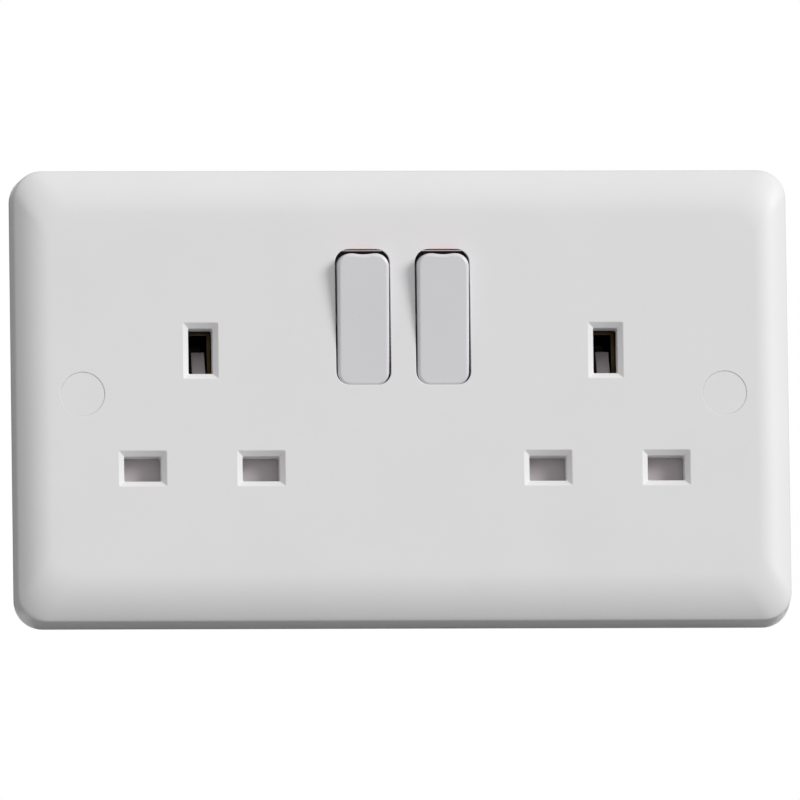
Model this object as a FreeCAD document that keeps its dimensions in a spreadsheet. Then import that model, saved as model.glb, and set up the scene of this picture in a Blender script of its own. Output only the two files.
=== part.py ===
"""UK twin switched socket outlet. X is right, Y goes into the wall, Z is up.

The origin lies on the wall plane, midway between the two fixing screws. The plate stands
in front of the wall at negative Y, and the mechanism reaches into the wall box at positive Y.
"""
import FreeCAD, Part
import math
import os
import re

import Sketcher

SIZES = {
    # front plate
    "plate_width": 146.0,
    "plate_height": 86.0,
    "plate_depth": 11.0,
    "side_draft": 0.7,
    "crease_drop": 3.1,
    "edge_side": 6.5,
    "edge_top": 9.0,
    "corner_radius": 5.3,
    "flat_corner": 3.0,
    "face_wall": 2.6,
    "rim_wall": 2.2,
    "rib_wall": 1.2,
    "rib_rise": 2.2,
    "rib_inset": 2.0,
    # pin slots
    "socket_inset": 22.25,
    "pin_spread": 22.23,
    "pin_line": -14.1,
    "earth_rise": 22.23,
    "slot_wide": 7.0,
    "slot_tall": 4.75,
    "earth_wide": 4.6,
    "earth_tall": 8.6,
    "funnel_rim": 1.0,
    "funnel_deep": 0.9,
    "collar_wall": 1.1,
    # fixing screws and their caps
    "fixing_pitch": 120.6,
    "boss_radius": 5.3,
    "cap_radius": 4.05,
    "cap_recess_gap": 0.05,
    "cap_thick": 1.2,
    "cap_skirt": 1.4,
    "cap_wall": 0.7,
    "cap_edge": 0.15,
    "screw_seat": 5.0,
    "neck_radius": 1.9,
    "screw_hole": 2.1,
    "screw_radius": 1.75,
    "screw_length": 25.0,
    "screw_head": 3.3,
    "screw_head_rise": 2.2,
    "screw_slot_wide": 1.0,
    "screw_slot_deep": 1.0,
    # rockers
    "rocker_pitch": 15.0,
    "rocker_height": 14.3,
    "opening_wide": 10.3,
    "opening_tall": 25.3,
    "opening_corner": 1.9,
    "opening_flare": 0.5,
    "rocker_wide": 9.7,
    "rocker_sweep": 12.75,
    "rocker_rise": 4.2,
    "rocker_skirt": 1.0,
    "rocker_wall": 1.5,
    "rocker_corner": 2.0,
    "rocker_edge": 0.7,
    "rocker_tilt": 7.0,
    "pivot_depth": 3.0,
    "pivot_radius": 1.2,
    "pivot_gap": 0.05,
    "pivot_reach": 1.6,
    "cheek_gap": 0.5,
    "cheek_wall": 1.8,
    "cheek_half": 3.6,
    "cheek_reach": 2.6,
    "stem_radius": 2.9,
    "stem_length": 7.0,
    "plunger_radius": 1.6,
    "plunger_nose": 0.4,
    "plunger_length": 7.2,
    "plunger_clear": 0.2,
    "plunger_gap": 0.06,
    "spring_wire": 0.36,
    "spring_turns": 3.0,
    # see-saw contacts and the fixed contacts under them
    "strip_thick": 0.8,
    "strip_line": 7.2,
    "arm_wide": 4.4,
    "arm_half": 10.2,
    "arm_tip": 8.7,
    "arm_tilt": 10.0,
    "fulcrum_gap": 0.05,
    "fulcrum_wide": 4.0,
    "tip_radius": 1.4,
    "tip_rise": 0.8,
    "tip_gap": 0.05,
    # pin grips and strips
    "grip_wide": 5.6,
    "grip_gap": 3.7,
    "grip_flare": 0.6,
    "grip_lip": 2.4,
    "grip_front": -0.6,
    "run_wide": 5.0,
    "run_rise": 2.7,
    "bar_top": -17.9,
    "bar_bottom": -21.4,
    "bus_top": 1.0,
    "bus_bottom": -3.0,
    "bus_side": 32.7,
    "bus_wide": 3.0,
    "earth_spine_top": 17.0,
    "earth_spine_bottom": 13.0,
    "earth_grip_gap": 3.7,
    "earth_tongue": 7.0,
    # terminals
    "terminal_wide": 7.6,
    "terminal_top": -22.2,
    "terminal_bottom": -29.6,
    "neutral_terminal_side": 38.0,
    "earth_terminal_side": 7.5,
    "tunnel_radius": 2.1,
    "tunnel_wall": 0.9,
    "clamp_thread": 1.4,
    "clamp_radius": 1.75,
    "clamp_head": 2.9,
    "clamp_head_rise": 1.7,
    "clamp_slot_wide": 0.9,
    "clamp_slot_deep": 0.8,
    # shutters
    "shutter_depth": 5.0,
    "shutter_thick": 2.0,
    "shutter_half": 15.6,
    "shutter_lap": 1.1,
    "shutter_stem": 3.4,
    "shutter_travel": 5.8,
    "slide_gap": 0.2,
    "ramp_wide": 2.5,
    "ramp_foot": 3.4,
    "ramp_top": 9.0,
    "ramp_reach": 3.6,
    "ramp_tail": 1.0,
    "return_wire": 0.36,
    "return_radius": 0.95,
    "return_turns": 4.0,
    "return_length": 11.6,
    "peg_radius": 0.65,
    "peg_rise": 1.6,
    # contact cover and rear base
    "cover_thick": 1.6,
    "cover_hole_gap": 0.3,
    "stem_window_wide": 8.0,
    "stem_window_tall": 12.0,
    "guide_wall": 1.4,
    "guide_top": -8.0,
    "guide_bottom": -26.0,
    "base_side_gap": 0.435,
    "base_top_gap": 0.83,
    "base_wall": 1.6,
    "base_floor": 2.0,
    "base_corner": 3.0,
    "barrier_wall": 1.2,
    "ear_height": 18.0,
    "ear_wide": 9.0,
    "ear_reach": 10.0,
    "ear_thick": 2.4,
    "ear_screw": 1.4,
    "ear_screw_length": 8.0,
    "ear_head": 2.7,
    "ear_head_rise": 1.8,
    "ear_slot_wide": 0.8,
    "ear_slot_deep": 0.8,
    "post_radius": 3.3,
}

EDGE_STEPS = 4
WIRE_SIDES = 4
SIDES = {"left": "-1", "right": "1"}

doc = FreeCAD.newDocument("TwinSocket")
sheet = doc.addObject("Spreadsheet::Sheet", "Sizes")
for row, (alias, value) in enumerate(SIZES.items(), start=1):
    sheet.set(f"A{row}", alias)
    sheet.set(f"B{row}", str(value))
    sheet.setAlias(f"B{row}", alias)
probe = doc.addObject("App::FeaturePython", "Probe")
probe.addProperty("App::PropertyFloat", "Reading")
doc.recompute()

ROLL = FreeCAD.Vector(1, 0, 0)
FACING = {
    "X": FreeCAD.Rotation(FreeCAD.Vector(0, 1, 0), 90),
    "Y": FreeCAD.Rotation(ROLL, -90),
    "Z": FreeCAD.Rotation(),
}
SKETCH_TURN = {
    "X": FreeCAD.Rotation(FreeCAD.Vector(1, 1, 1), 120),
    "Y": FreeCAD.Rotation(ROLL, 90),
    "Z": FreeCAD.Rotation(),
}
AXIS = {"X": FreeCAD.Vector(1, 0, 0), "Y": FreeCAD.Vector(0, 1, 0), "Z": FreeCAD.Vector(0, 0, 1)}


def formula(text):
    """The same formula with the sheet's name in front of each size."""
    def named(word):
        return "Sizes." + word.group() if word.group() in SIZES else word.group()
    return re.sub(r"[a-z_]+", named, text)


def number(text):
    """What a formula comes to, read back from the document."""
    probe.setExpression("Reading", formula(text))
    probe.recompute()
    return probe.Reading


def bind(item, formulas):
    """Ties each named property of an object to a formula of sizes."""
    for name, text in formulas.items():
        item.setExpression(name, formula(text))
    return item


def around(middle, width):
    """The two ends of a width that is centred on a middle."""
    return f"(({middle}) - ({width}) / 2)", f"(({middle}) + ({width}) / 2)"


def box(name, x, y, z):
    """A block between two formulas on each axis."""
    ties = {}
    for letter, side, (low, high) in zip("xyz", ("Length", "Width", "Height"), (x, y, z)):
        ties["Placement.Base." + letter] = low
        ties[side] = f"({high}) - ({low})"
    return bind(doc.addObject("Part::Box", name), ties)


def rod(name, axis, radius, span, across):
    """A cylinder along an axis, from one formula to another, at a place across it."""
    low, high = span
    item = doc.addObject("Part::Cylinder", name)
    item.Placement = FreeCAD.Placement(FreeCAD.Vector(), FACING[axis])
    ties = {"Radius": radius, "Height": f"({high}) - ({low})"}
    others = [letter for letter in "XYZ" if letter != axis]
    ties["Placement.Base." + axis.lower()] = low
    for letter, text in zip(others, across):
        ties["Placement.Base." + letter.lower()] = text
    return bind(item, ties)


def cone(name, radii, span, place):
    """A cone along Y, from one radius to another."""
    item = doc.addObject("Part::Cone", name)
    item.Placement = FreeCAD.Placement(FreeCAD.Vector(), FACING["Y"])
    return bind(item, {
        "Radius1": radii[0], "Radius2": radii[1], "Height": f"({span[1]}) - ({span[0]})",
        "Placement.Base.x": place[0], "Placement.Base.y": span[0], "Placement.Base.z": place[1],
    })


def funnel(name, centre, mouth, throat, span):
    """A four-sided funnel along Y, from its mouth's width and height to its throat's."""
    low, high = span
    item = doc.addObject("Part::Wedge", name)
    ties = {"Ymin": low, "Ymax": high}
    for letter, middle, wide, narrow in zip("XZ", centre, mouth, throat):
        ties[letter + "min"], ties[letter + "max"] = around(middle, wide)
        ties[letter + "2min"], ties[letter + "2max"] = around(middle, narrow)
    return bind(item, ties)


def fuse(name, *pieces):
    item = doc.addObject("Part::MultiFuse", name)
    item.Shapes = list(pieces)
    item.Refine = True
    return item


def common(name, *pieces):
    item = doc.addObject("Part::MultiCommon", name)
    item.Shapes = list(pieces)
    return item


def cut(name, base, *tools):
    item = doc.addObject("Part::Cut", name)
    item.Base = base
    item.Tool = tools[0] if len(tools) == 1 else fuse(name + "Tools", *tools)
    item.Refine = True
    return item


def outline(name, axis, points, depth):
    """A closed sketch of straight lines. Each corner is a pair of formulas."""
    sketch = doc.addObject("Sketcher::SketchObject", name)
    sketch.Placement = FreeCAD.Placement(FreeCAD.Vector(), SKETCH_TURN[axis])
    bind(sketch, {"Placement.Base." + axis.lower(): depth})
    count = len(points)
    start = []
    for index in range(count):
        turn = 2 * math.pi * index / count
        start.append(FreeCAD.Vector(math.cos(turn), math.sin(turn), 0))
    for index in range(count):
        sketch.addGeometry(Part.LineSegment(start[index], start[(index + 1) % count]), False)
    for index in range(count):
        sketch.addConstraint(Sketcher.Constraint("Coincident", index, 2, (index + 1) % count, 1))
    for index, texts in enumerate(points):
        for kind, place, text in zip(("DistanceX", "DistanceY"), start[index], texts):
            number_of = sketch.addConstraint(Sketcher.Constraint(kind, -1, 1, index, 1, place))
            sketch.setExpression(f"Constraints[{number_of}]", formula(text))
    return sketch


def profile(name, axis, points, span):
    """A straight-sided outline pushed along an axis between two formulas."""
    low, high = span
    item = doc.addObject("Part::Extrusion", name)
    item.Base = outline(name + "Outline", axis, points, low)
    item.DirMode = "Custom"
    item.Dir = AXIS[axis]
    item.Solid = True
    return bind(item, {"LengthFwd": f"({high}) - ({low})"})


def rounded(name, centre, width, height, radius, depth):
    """A sketch across Y of a rectangle with round corners."""
    sketch = doc.addObject("Sketcher::SketchObject", name)
    sketch.Placement = FreeCAD.Placement(FreeCAD.Vector(), SKETCH_TURN["Y"])
    bind(sketch, {
        "Placement.Base.x": centre[0], "Placement.Base.y": depth, "Placement.Base.z": centre[1],
    })
    half_w, half_h, bend = number(width) / 2, number(height) / 2, number(radius)
    flat_w, flat_h = half_w - bend, half_h - bend
    corners = [(flat_w, -flat_h, -1), (flat_w, flat_h, 0), (-flat_w, flat_h, 1), (-flat_w, -flat_h, 2)]
    lines = [
        ((-flat_w, -half_h), (flat_w, -half_h)), ((half_w, -flat_h), (half_w, flat_h)),
        ((flat_w, half_h), (-flat_w, half_h)), ((-half_w, flat_h), (-half_w, -flat_h)),
    ]
    for (first, last), (x, y, turn) in zip(lines, corners):
        sketch.addGeometry(Part.LineSegment(FreeCAD.Vector(*first, 0), FreeCAD.Vector(*last, 0)), False)
        circle = Part.Circle(FreeCAD.Vector(x, y, 0), FreeCAD.Vector(0, 0, 1), bend)
        arc = Part.ArcOfCircle(circle, math.pi / 2 * turn, math.pi / 2 * (turn + 1))
        sketch.addGeometry(arc, False)
    for side in range(4):
        line, arc, following = 2 * side, 2 * side + 1, (2 * side + 2) % 8
        sketch.addConstraint(Sketcher.Constraint("Tangent", line, 2, arc, 1))
        sketch.addConstraint(Sketcher.Constraint("Tangent", arc, 2, following, 1))
        sketch.addConstraint(Sketcher.Constraint("Vertical" if side % 2 else "Horizontal", line))
    for arc in (3, 5, 7):
        sketch.addConstraint(Sketcher.Constraint("Equal", 1, arc))
    places = [
        ("DistanceY", 0, -half_h, f"-({height}) / 2"), ("DistanceX", 2, half_w, f"({width}) / 2"),
        ("DistanceY", 4, half_h, f"({height}) / 2"), ("DistanceX", 6, -half_w, f"-({width}) / 2"),
    ]
    for kind, line, place, text in places:
        index = sketch.addConstraint(Sketcher.Constraint(kind, -1, 1, line, 1, place))
        sketch.setExpression(f"Constraints[{index}]", formula(text))
    index = sketch.addConstraint(Sketcher.Constraint("Radius", 1, bend))
    sketch.setExpression(f"Constraints[{index}]", formula(radius))
    return sketch


def loft(name, sections, ruled):
    item = doc.addObject("Part::Loft", name)
    item.Sections = sections
    item.Solid = True
    item.Ruled = ruled
    return item


def round_edges(name, base, groups):
    """Rounds the edges that each test picks, to the radius that goes with it."""
    doc.recompute()
    item = doc.addObject("Part::Fillet", name)
    item.Base = base
    chosen = []
    for picks, radius in groups:
        size = number(radius)
        for index, edge in enumerate(base.Shape.Edges, start=1):
            if picks(edge):
                chosen.append((index, size, size))
    item.Edges = chosen
    return item


def along_y(edge):
    limits = edge.BoundBox
    return limits.XMax - limits.XMin < 1e-6 and limits.ZMax - limits.ZMin < 1e-6


def coil(name, wire, radius, turns, length):
    """A wire of few flats wound up its own Z axis from zero to a length."""
    spine = bind(doc.addObject("Part::Helix", name + "Spine"), {
        "Radius": radius, "Height": length, "Pitch": f"({length}) / ({turns})",
    })
    section = doc.addObject("Part::RegularPolygon", name + "Section")
    section.Polygon = WIRE_SIDES
    section.Placement = FreeCAD.Placement(FreeCAD.Vector(), FACING["Y"])
    bind(section, {"Circumradius": f"({wire}) / 2", "Placement.Base.x": radius})
    doc.recompute()
    item = doc.addObject("Part::Sweep", name)
    item.Sections = [section]
    item.Spine = (spine, [f"Edge{index + 1}" for index in range(len(spine.Shape.Edges))])
    item.Solid = True
    item.Frenet = True
    return item


def seat(item, place, turn=None, angle=None):
    """Puts a piece that was built about its own origin where it belongs."""
    if turn is not None:
        item.Placement = FreeCAD.Placement(FreeCAD.Vector(), FreeCAD.Rotation(turn, 1))
    ties = {"Placement.Base." + letter: text for letter, text in zip("xyz", place)}
    if angle is not None:
        ties["Placement.Rotation.Angle"] = angle
    return bind(item, ties)


def group(name, *pieces):
    item = doc.addObject("Part::Compound", name)
    item.Links = list(pieces)
    return item


FACE = "(-plate_depth)"
FACE_BACK = "(face_wall - plate_depth)"
CREASE = "(crease_drop - plate_depth)"
CREASE_WIDTH = "(plate_width - 2 * side_draft)"
CREASE_HEIGHT = "(plate_height - 2 * side_draft)"
SOCKET_PITCH = "(fixing_pitch - 2 * socket_inset)"
EARTH_LINE = "(pin_line + earth_rise)"
SHUTTER_FRONT = "(shutter_depth - plate_depth)"
SHUTTER_BACK = "(shutter_depth - plate_depth + shutter_thick)"
COVER_FRONT = f"({SHUTTER_BACK} + slide_gap)"
COVER_BACK = f"({COVER_FRONT} + cover_thick)"
PIVOT = "(pivot_depth - plate_depth)"
STRIP = ("strip_line", "strip_line + strip_thick")
TIP_SWING = "(tip_rise * cos(arm_tilt * 1deg) + (arm_tip + tip_radius) * sin(arm_tilt * 1deg))"
FULCRUM = f"(strip_line - tip_rise - tip_gap - {TIP_SWING})"
FIXED_TIP_HEIGHT = "(rocker_height + arm_tip * cos(arm_tilt * 1deg))"
RUN_TOP = f"({FIXED_TIP_HEIGHT} + run_rise)"
PLUNGER_REACH = f"({FULCRUM} - strip_thick - plunger_clear - {PIVOT})"
TERMINAL_MIDDLE = "((terminal_top + terminal_bottom) / 2)"
TUNNEL_LINE = "(strip_line + strip_thick + tunnel_wall + tunnel_radius)"
FLOOR = f"({TUNNEL_LINE} + tunnel_radius + clamp_thread)"
BASE_BACK = f"({FLOOR} + base_floor)"
BASE_WIDTH = f"({SOCKET_PITCH} + pin_spread + grip_wide + 2 * (base_side_gap + base_wall))"
BASE_TOP = f"({RUN_TOP} + base_top_gap + base_wall)"
BASE_BOTTOM = "(terminal_bottom - base_wall)"
EARTH_PLANE = (f"{FLOOR} - strip_thick", FLOOR)
SHUTTER_BOTTOM = "(pin_line - slot_tall / 2 - shutter_lap)"
SHUTTER_SHOULDER = "(pin_line + slot_tall / 2 + shutter_lap)"
SPRING_FOOT = f"({SHUTTER_BOTTOM} - return_length)"
EAR_ROWS = {"top": "ear_height", "bottom": "(-ear_height)"}


def socket_side(sign):
    return f"({sign} * {SOCKET_PITCH} / 2)"


def pins(sign):
    """Each pin's name, centre, slot width and slot height, as seen from the front."""
    middle = socket_side(sign)
    return [
        ("Neutral", (f"({middle} - pin_spread / 2)", "pin_line"), "slot_wide", "slot_tall"),
        ("Live", (f"({middle} + pin_spread / 2)", "pin_line"), "slot_wide", "slot_tall"),
        ("Earth", (middle, EARTH_LINE), "earth_wide", "earth_tall"),
    ]


def ear_side(sign):
    return f"({sign} * ({BASE_WIDTH} + ear_reach) / 2)"


def rocker_side(sign):
    return f"({sign} * rocker_pitch / 2)"


def terminals():
    """Each terminal's name, and its place across the base."""
    return [
        ("neutral_terminal", "(-neutral_terminal_side)"),
        ("earth_terminal_left", "(-earth_terminal_side)"),
        ("earth_terminal_right", "earth_terminal_side"),
        ("live_terminal", "bus_side"),
    ]


def plate_shell():
    """The plate's soft-edged outer form: round-shouldered at the front, drafted at the sides."""
    bend_side = "((edge_side^2 + crease_drop^2) / (2 * crease_drop))"
    bend_top = "((edge_top^2 + crease_drop^2) / (2 * crease_drop))"
    shoulder = []
    for step in range(EDGE_STEPS + 1):
        part = step / EDGE_STEPS
        drop = f"(crease_drop * {part}^2)"
        inset_side = f"(edge_side - sqrt(2 * {bend_side} * {drop} - {drop}^2))"
        inset_top = f"(edge_top - sqrt(2 * {bend_top} * {drop} - {drop}^2))"
        radius = f"(flat_corner + (corner_radius - flat_corner) * {part})"
        shoulder.append(rounded(
            f"Shoulder{step}", ("0", "0"), f"{CREASE_WIDTH} - 2 * {inset_side}",
            f"{CREASE_HEIGHT} - 2 * {inset_top}", radius, f"{FACE} + {drop}",
        ))
    crease = rounded("Crease", ("0", "0"), CREASE_WIDTH, CREASE_HEIGHT, "corner_radius", CREASE)
    rim = rounded("Rim", ("0", "0"), "plate_width", "plate_height", "corner_radius + side_draft", "0")
    return fuse("PlateForm", loft("Pillow", shoulder, True), loft("Skirt", [crease, rim], True))


def plate_hollow():
    """The space behind the face, with its front corner sloped to follow the shoulder."""
    sections = []
    depths = [("0", "0", "0"), ("side_draft", "0", "face_wall - plate_depth + crease_drop")]
    depths.append(("side_draft", "edge_side", FACE_BACK))
    for index, (draft, inset, depth) in enumerate(depths):
        lost = f"2 * (rim_wall + {draft} + {inset})"
        sections.append(rounded(
            f"Hollow{index}", ("0", "0"), f"plate_width - {lost}", f"plate_height - {lost}",
            "corner_radius + side_draft - rim_wall", depth,
        ))
    return loft("Hollow", sections, True)


def front_plate():
    solid = cut("PlateShell", plate_shell(), plate_hollow())
    added, removed = [], []
    for side, sign in SIDES.items():
        for pin, centre, wide, tall in pins(sign):
            name = side.title() + pin
            mouth = (f"({wide} + 2 * funnel_rim)", f"({tall} + 2 * funnel_rim)")
            collar = f"({wide} + 2 * collar_wall)", f"({tall} + 2 * collar_wall)"
            throat = f"({FACE} + funnel_deep)"
            removed.append(funnel(name + "Funnel", centre, mouth, (wide, tall), (FACE, throat)))
            removed.append(box(
                name + "Slot", around(centre[0], wide), (throat, SHUTTER_FRONT), around(centre[1], tall),
            ))
            added.append(box(
                name + "Collar", around(centre[0], collar[0]),
                (f"{FACE} + face_wall / 2", f"{SHUTTER_FRONT} - slide_gap"), around(centre[1], collar[1]),
            ))
        place = (rocker_side(sign), "rocker_height")
        opening = [
            rounded(side + "Mouth", place, "opening_wide", "opening_tall", "opening_corner", FACE),
            rounded(
                side + "Throat", place, "opening_wide", "opening_tall + 2 * opening_flare",
                "opening_corner", FACE_BACK,
            ),
        ]
        removed.append(loft(side + "Opening", opening, True))
        screw = (f"({sign} * fixing_pitch / 2)", "0")
        added.append(rod(side + "Boss", "Y", "boss_radius", (f"{FACE} + face_wall / 2", "0"), screw))
        removed.append(rod(
            side + "Recess", "Y", "cap_radius + cap_recess_gap", (FACE, f"{FACE} + screw_seat"), screw,
        ))
        removed.append(rod(side + "Through", "Y", "screw_hole", (FACE, "0"), screw))
        outer = f"({sign} * (rocker_pitch / 2 + rocker_wide / 2 + cheek_gap + cheek_wall / 2))"
        added.append(cheek(side + "Cheek", around(outer, "cheek_wall")))
        for row, height in EAR_ROWS.items():
            post = (ear_side(sign), height)
            span = (f"{FACE} + face_wall / 2", COVER_BACK)
            added.append(rod(side + row + "Post", "Y", "post_radius", span, post))
            pilot = (f"{COVER_BACK} + ear_thick - ear_screw_length", COVER_BACK)
            removed.append(rod(side + row + "Pilot", "Y", "ear_screw", pilot, post))
    centre_half = "(rocker_pitch / 2 - rocker_wide / 2 - cheek_gap)"
    added.append(cheek("CentreCheek", (f"-{centre_half}", centre_half)))
    for row, sign in (("Upper", "1"), ("Lower", "-1")):
        line = f"({sign} * (plate_height / 2 - edge_top - rib_inset / 2))"
        reach = around("0", "plate_width - 4 * edge_side")
        depth = (f"{FACE} + face_wall / 2", f"{FACE_BACK} + rib_rise")
        added.append(box(row + "Rib", reach, depth, around(line, "rib_wall")))
    removed.append(rod("PivotNotch", "X", "pivot_radius + pivot_gap", pivot_span(), (PIVOT, "rocker_height")))
    removed.append(box(
        "PivotSlot", pivot_span(), (PIVOT, f"{PIVOT} + cheek_reach"),
        around("rocker_height", "2 * (pivot_radius + pivot_gap)"),
    ))
    item = cut("FrontPlate", fuse("PlateBuilt", solid, *added), *removed)
    item.Label = "front_plate"
    return item


def pivot_span():
    return around("0", "rocker_pitch + rocker_wide + 2 * (cheek_gap + cheek_wall)")


def cheek(name, x):
    """A rib that carries the rockers' pivots."""
    return box(
        name, x, (f"{FACE} + face_wall / 2", f"{PIVOT} + cheek_reach"),
        around("rocker_height", "2 * cheek_half"),
    )


def screw_cap(side, sign):
    screw = (f"({sign} * fixing_pitch / 2)", "0")
    under = f"({FACE} + cap_thick)"
    rim = cone(side + "CapRim", ("cap_radius - cap_edge", "cap_radius"), (FACE, f"{FACE} + cap_edge"), screw)
    disc = rod(side + "CapDisc", "Y", "cap_radius", (f"{FACE} + cap_edge", under), screw)
    skirt = rod(side + "CapSkirt", "Y", "cap_radius", (under, f"{under} + cap_skirt"), screw)
    inside = rod(side + "CapInside", "Y", "cap_radius - cap_wall", (under, f"{under} + cap_skirt"), screw)
    built = cut(side + "CapBuilt", fuse(side + "CapForm", rim, disc, skirt), inside)
    built.Label = "screw_cap_" + side


def slotted(name, place, shank, head, slot, head_back=False):
    """A screw along Y: a shank, a head on its front or back end, and a slot across the head."""
    radius, span = shank
    head_radius, rise = head
    slot_wide, slot_deep = slot
    if head_back:
        seat_line = span[1]
        head_span = (seat_line, f"({seat_line} + {rise})")
        slot_span = (f"({head_span[1]} - {slot_deep})", head_span[1])
    else:
        seat_line = span[0]
        head_span = (f"({seat_line} - {rise})", seat_line)
        slot_span = (head_span[0], f"({head_span[0]} + {slot_deep})")
    body = fuse(
        name + "Form", rod(name + "Shank", "Y", radius, span, place),
        rod(name + "Head", "Y", head_radius, head_span, place),
    )
    groove = box(
        name + "Groove", around(place[0], f"2 * {head_radius}"), slot_span, around(place[1], slot_wide),
    )
    return cut(name, body, groove)


def fixing_screws():
    screws = []
    seat_line = f"({FACE} + screw_seat)"
    for side, sign in SIDES.items():
        place = (f"({sign} * fixing_pitch / 2)", "0")
        screw = slotted(
            side + "FixingNeck", place, ("neck_radius", (seat_line, "0")),
            ("screw_head", "screw_head_rise"), ("screw_slot_wide", "screw_slot_deep"),
        )
        thread = rod(side + "Thread", "Y", "screw_radius", ("0", f"({seat_line} + screw_length)"), place)
        screws.append(fuse(side + "FixingScrew", screw, thread))
    group("FixingScrews", *screws).Label = "fixing_screws"


def rocker(side, sign):
    """A hollow rocker, built square about its pivot and then tilted to ON."""
    half = around("0", "rocker_wide")
    inner = around("0", "rocker_wide - 2 * rocker_wall")
    tall = around("0", "2 * rocker_sweep")
    slab = box(side + "RockerSlab", half, ("-rocker_rise", "rocker_skirt"), tall)
    slab = round_edges(side + "RockerSlabRounded", slab, [(along_y, "rocker_corner")])
    drum = rod(side + "RockerDrum", "X", "rocker_sweep", half, ("0", "0"))
    sweep_at_edge = "sqrt(rocker_sweep^2 - (rocker_rise - rocker_edge)^2)"
    spread = []
    ends = [("0", "-rocker_rise"), ("rocker_rise + rocker_skirt", "rocker_skirt")]
    for step, (grown, depth) in enumerate(ends):
        spread.append(rounded(
            side + f"Bevel{step}", ("0", "0"), f"rocker_wide - 2 * rocker_edge + 2 * ({grown})",
            f"2 * ({sweep_at_edge} - rocker_edge + {grown})", "rocker_edge", depth,
        ))
    shell = common(side + "RockerShell", slab, drum, loft(side + "RockerBevel", spread, True))
    hollow = common(
        side + "RockerHollow",
        box(side + "HollowSlab", inner, ("rocker_wall - rocker_rise", "rocker_skirt"), tall),
        rod(side + "HollowDrum", "X", "rocker_sweep - rocker_wall", inner, ("0", "0")),
    )
    stem_span = ("rocker_wall / 2 - rocker_rise", "stem_length")
    stem = rod(side + "Stem", "Y", "stem_radius", stem_span, ("0", "0"))
    pieces = [cut(side + "RockerCup", shell, hollow), stem]
    for end_name, end_sign in SIDES.items():
        ends = ["(rocker_wide / 2 - rocker_wall)", "(rocker_wide / 2 + pivot_reach)"]
        span = tuple(ends) if end_sign == "1" else (f"-{ends[1]}", f"-{ends[0]}")
        pieces.append(rod(side + "Pivot" + end_name, "X", "pivot_radius", span, ("0", "0")))
    bore = rod(
        side + "StemBore", "Y", "plunger_radius + plunger_gap",
        ("rocker_wall - rocker_rise", "stem_length"), ("0", "0"),
    )
    item = cut(side + "Rocker", fuse(side + "RockerBuilt", *pieces), bore)
    item.Label = "rocker_" + side
    place_rocker(item, sign)


def place_rocker(item, sign):
    seat(item, (rocker_side(sign), PIVOT, "rocker_height"), ROLL, "rocker_tilt")


def plunger(side, sign):
    """The sprung pusher in the rocker's stem, with a tapered nose on the see-saw contact."""
    shoulder = f"({PLUNGER_REACH} - plunger_radius + plunger_nose)"
    shank_span = (f"{PLUNGER_REACH} - plunger_length", shoulder)
    shank = rod(side + "PlungerShank", "Y", "plunger_radius", shank_span, ("0", "0"))
    radii = ("plunger_radius", "plunger_nose")
    nose = cone(side + "PlungerNose", radii, (shoulder, PLUNGER_REACH), ("0", "0"))
    item = fuse(side + "Plunger", shank, nose)
    item.Label = "plunger_" + side
    place_rocker(item, sign)


def plunger_spring(side, sign):
    seat_line = "(rocker_wall - rocker_rise)"
    length = f"({PLUNGER_REACH} - plunger_length - {seat_line} - spring_wire)"
    wound = coil(
        side + "PlungerCoil", "spring_wire", "plunger_radius - spring_wire / 2 - plunger_gap",
        "spring_turns", length,
    )
    wound.Placement = FreeCAD.Placement(FreeCAD.Vector(), FACING["Y"])
    bind(wound, {"Placement.Base.y": f"{seat_line} + spring_wire / 2"})
    item = group(side + "PlungerSpring", wound)
    item.Label = "plunger_spring_" + side
    place_rocker(item, sign)


def seesaw(side, sign):
    """The rocking contact arm and its silver tip, tilted so that the tip meets the fixed one."""
    place = (rocker_side(sign), FULCRUM, "rocker_height")
    arm = box(side + "Arm", around("0", "arm_wide"), ("-strip_thick", "0"), around("0", "2 * arm_half"))
    arm = round_edges(side + "ArmRounded", arm, [(along_y, "arm_wide / 4")])
    arm.Label = "moving_contact_" + side
    seat(arm, place, ROLL, "-arm_tilt")
    tip = rod(side + "Tip", "Y", "tip_radius", ("0", "tip_rise"), ("0", "arm_tip"))
    item = group(side + "MovingTip", tip)
    item.Label = "moving_tip_" + side
    seat(item, place, ROLL, "-arm_tilt")


def fixed_tips():
    tips = []
    for side, sign in SIDES.items():
        place = (rocker_side(sign), FIXED_TIP_HEIGHT)
        tips.append(rod(side + "FixedTip", "Y", "tip_radius", ("strip_line - tip_rise", "strip_line"), place))
    group("FixedTips", *tips).Label = "fixed_tips"


def pin_grip(name, centre):
    """A U of brass strip, open to the front, whose lips flare to lead a flat pin in."""
    x, z = centre
    near, far = "(grip_gap / 2)", "(grip_gap / 2 + strip_thick)"
    lip = "(grip_front + grip_lip)"
    back, behind = STRIP
    upper = [
        ("grip_front", f"{near} + grip_flare"), (lip, near), (back, near),
    ]
    outer = [
        (behind, far), (lip, far), ("grip_front", f"{far} + grip_flare"),
    ]
    points = [(y, f"{z} + {rise}") for y, rise in upper]
    points += [(y, f"{z} - ({rise})") for y, rise in reversed(upper)]
    points += [(y, f"{z} - ({rise})") for y, rise in reversed(outer)]
    points += [(y, f"{z} + {rise}") for y, rise in outer]
    return profile(name, "X", points, around(x, "grip_wide"))


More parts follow.
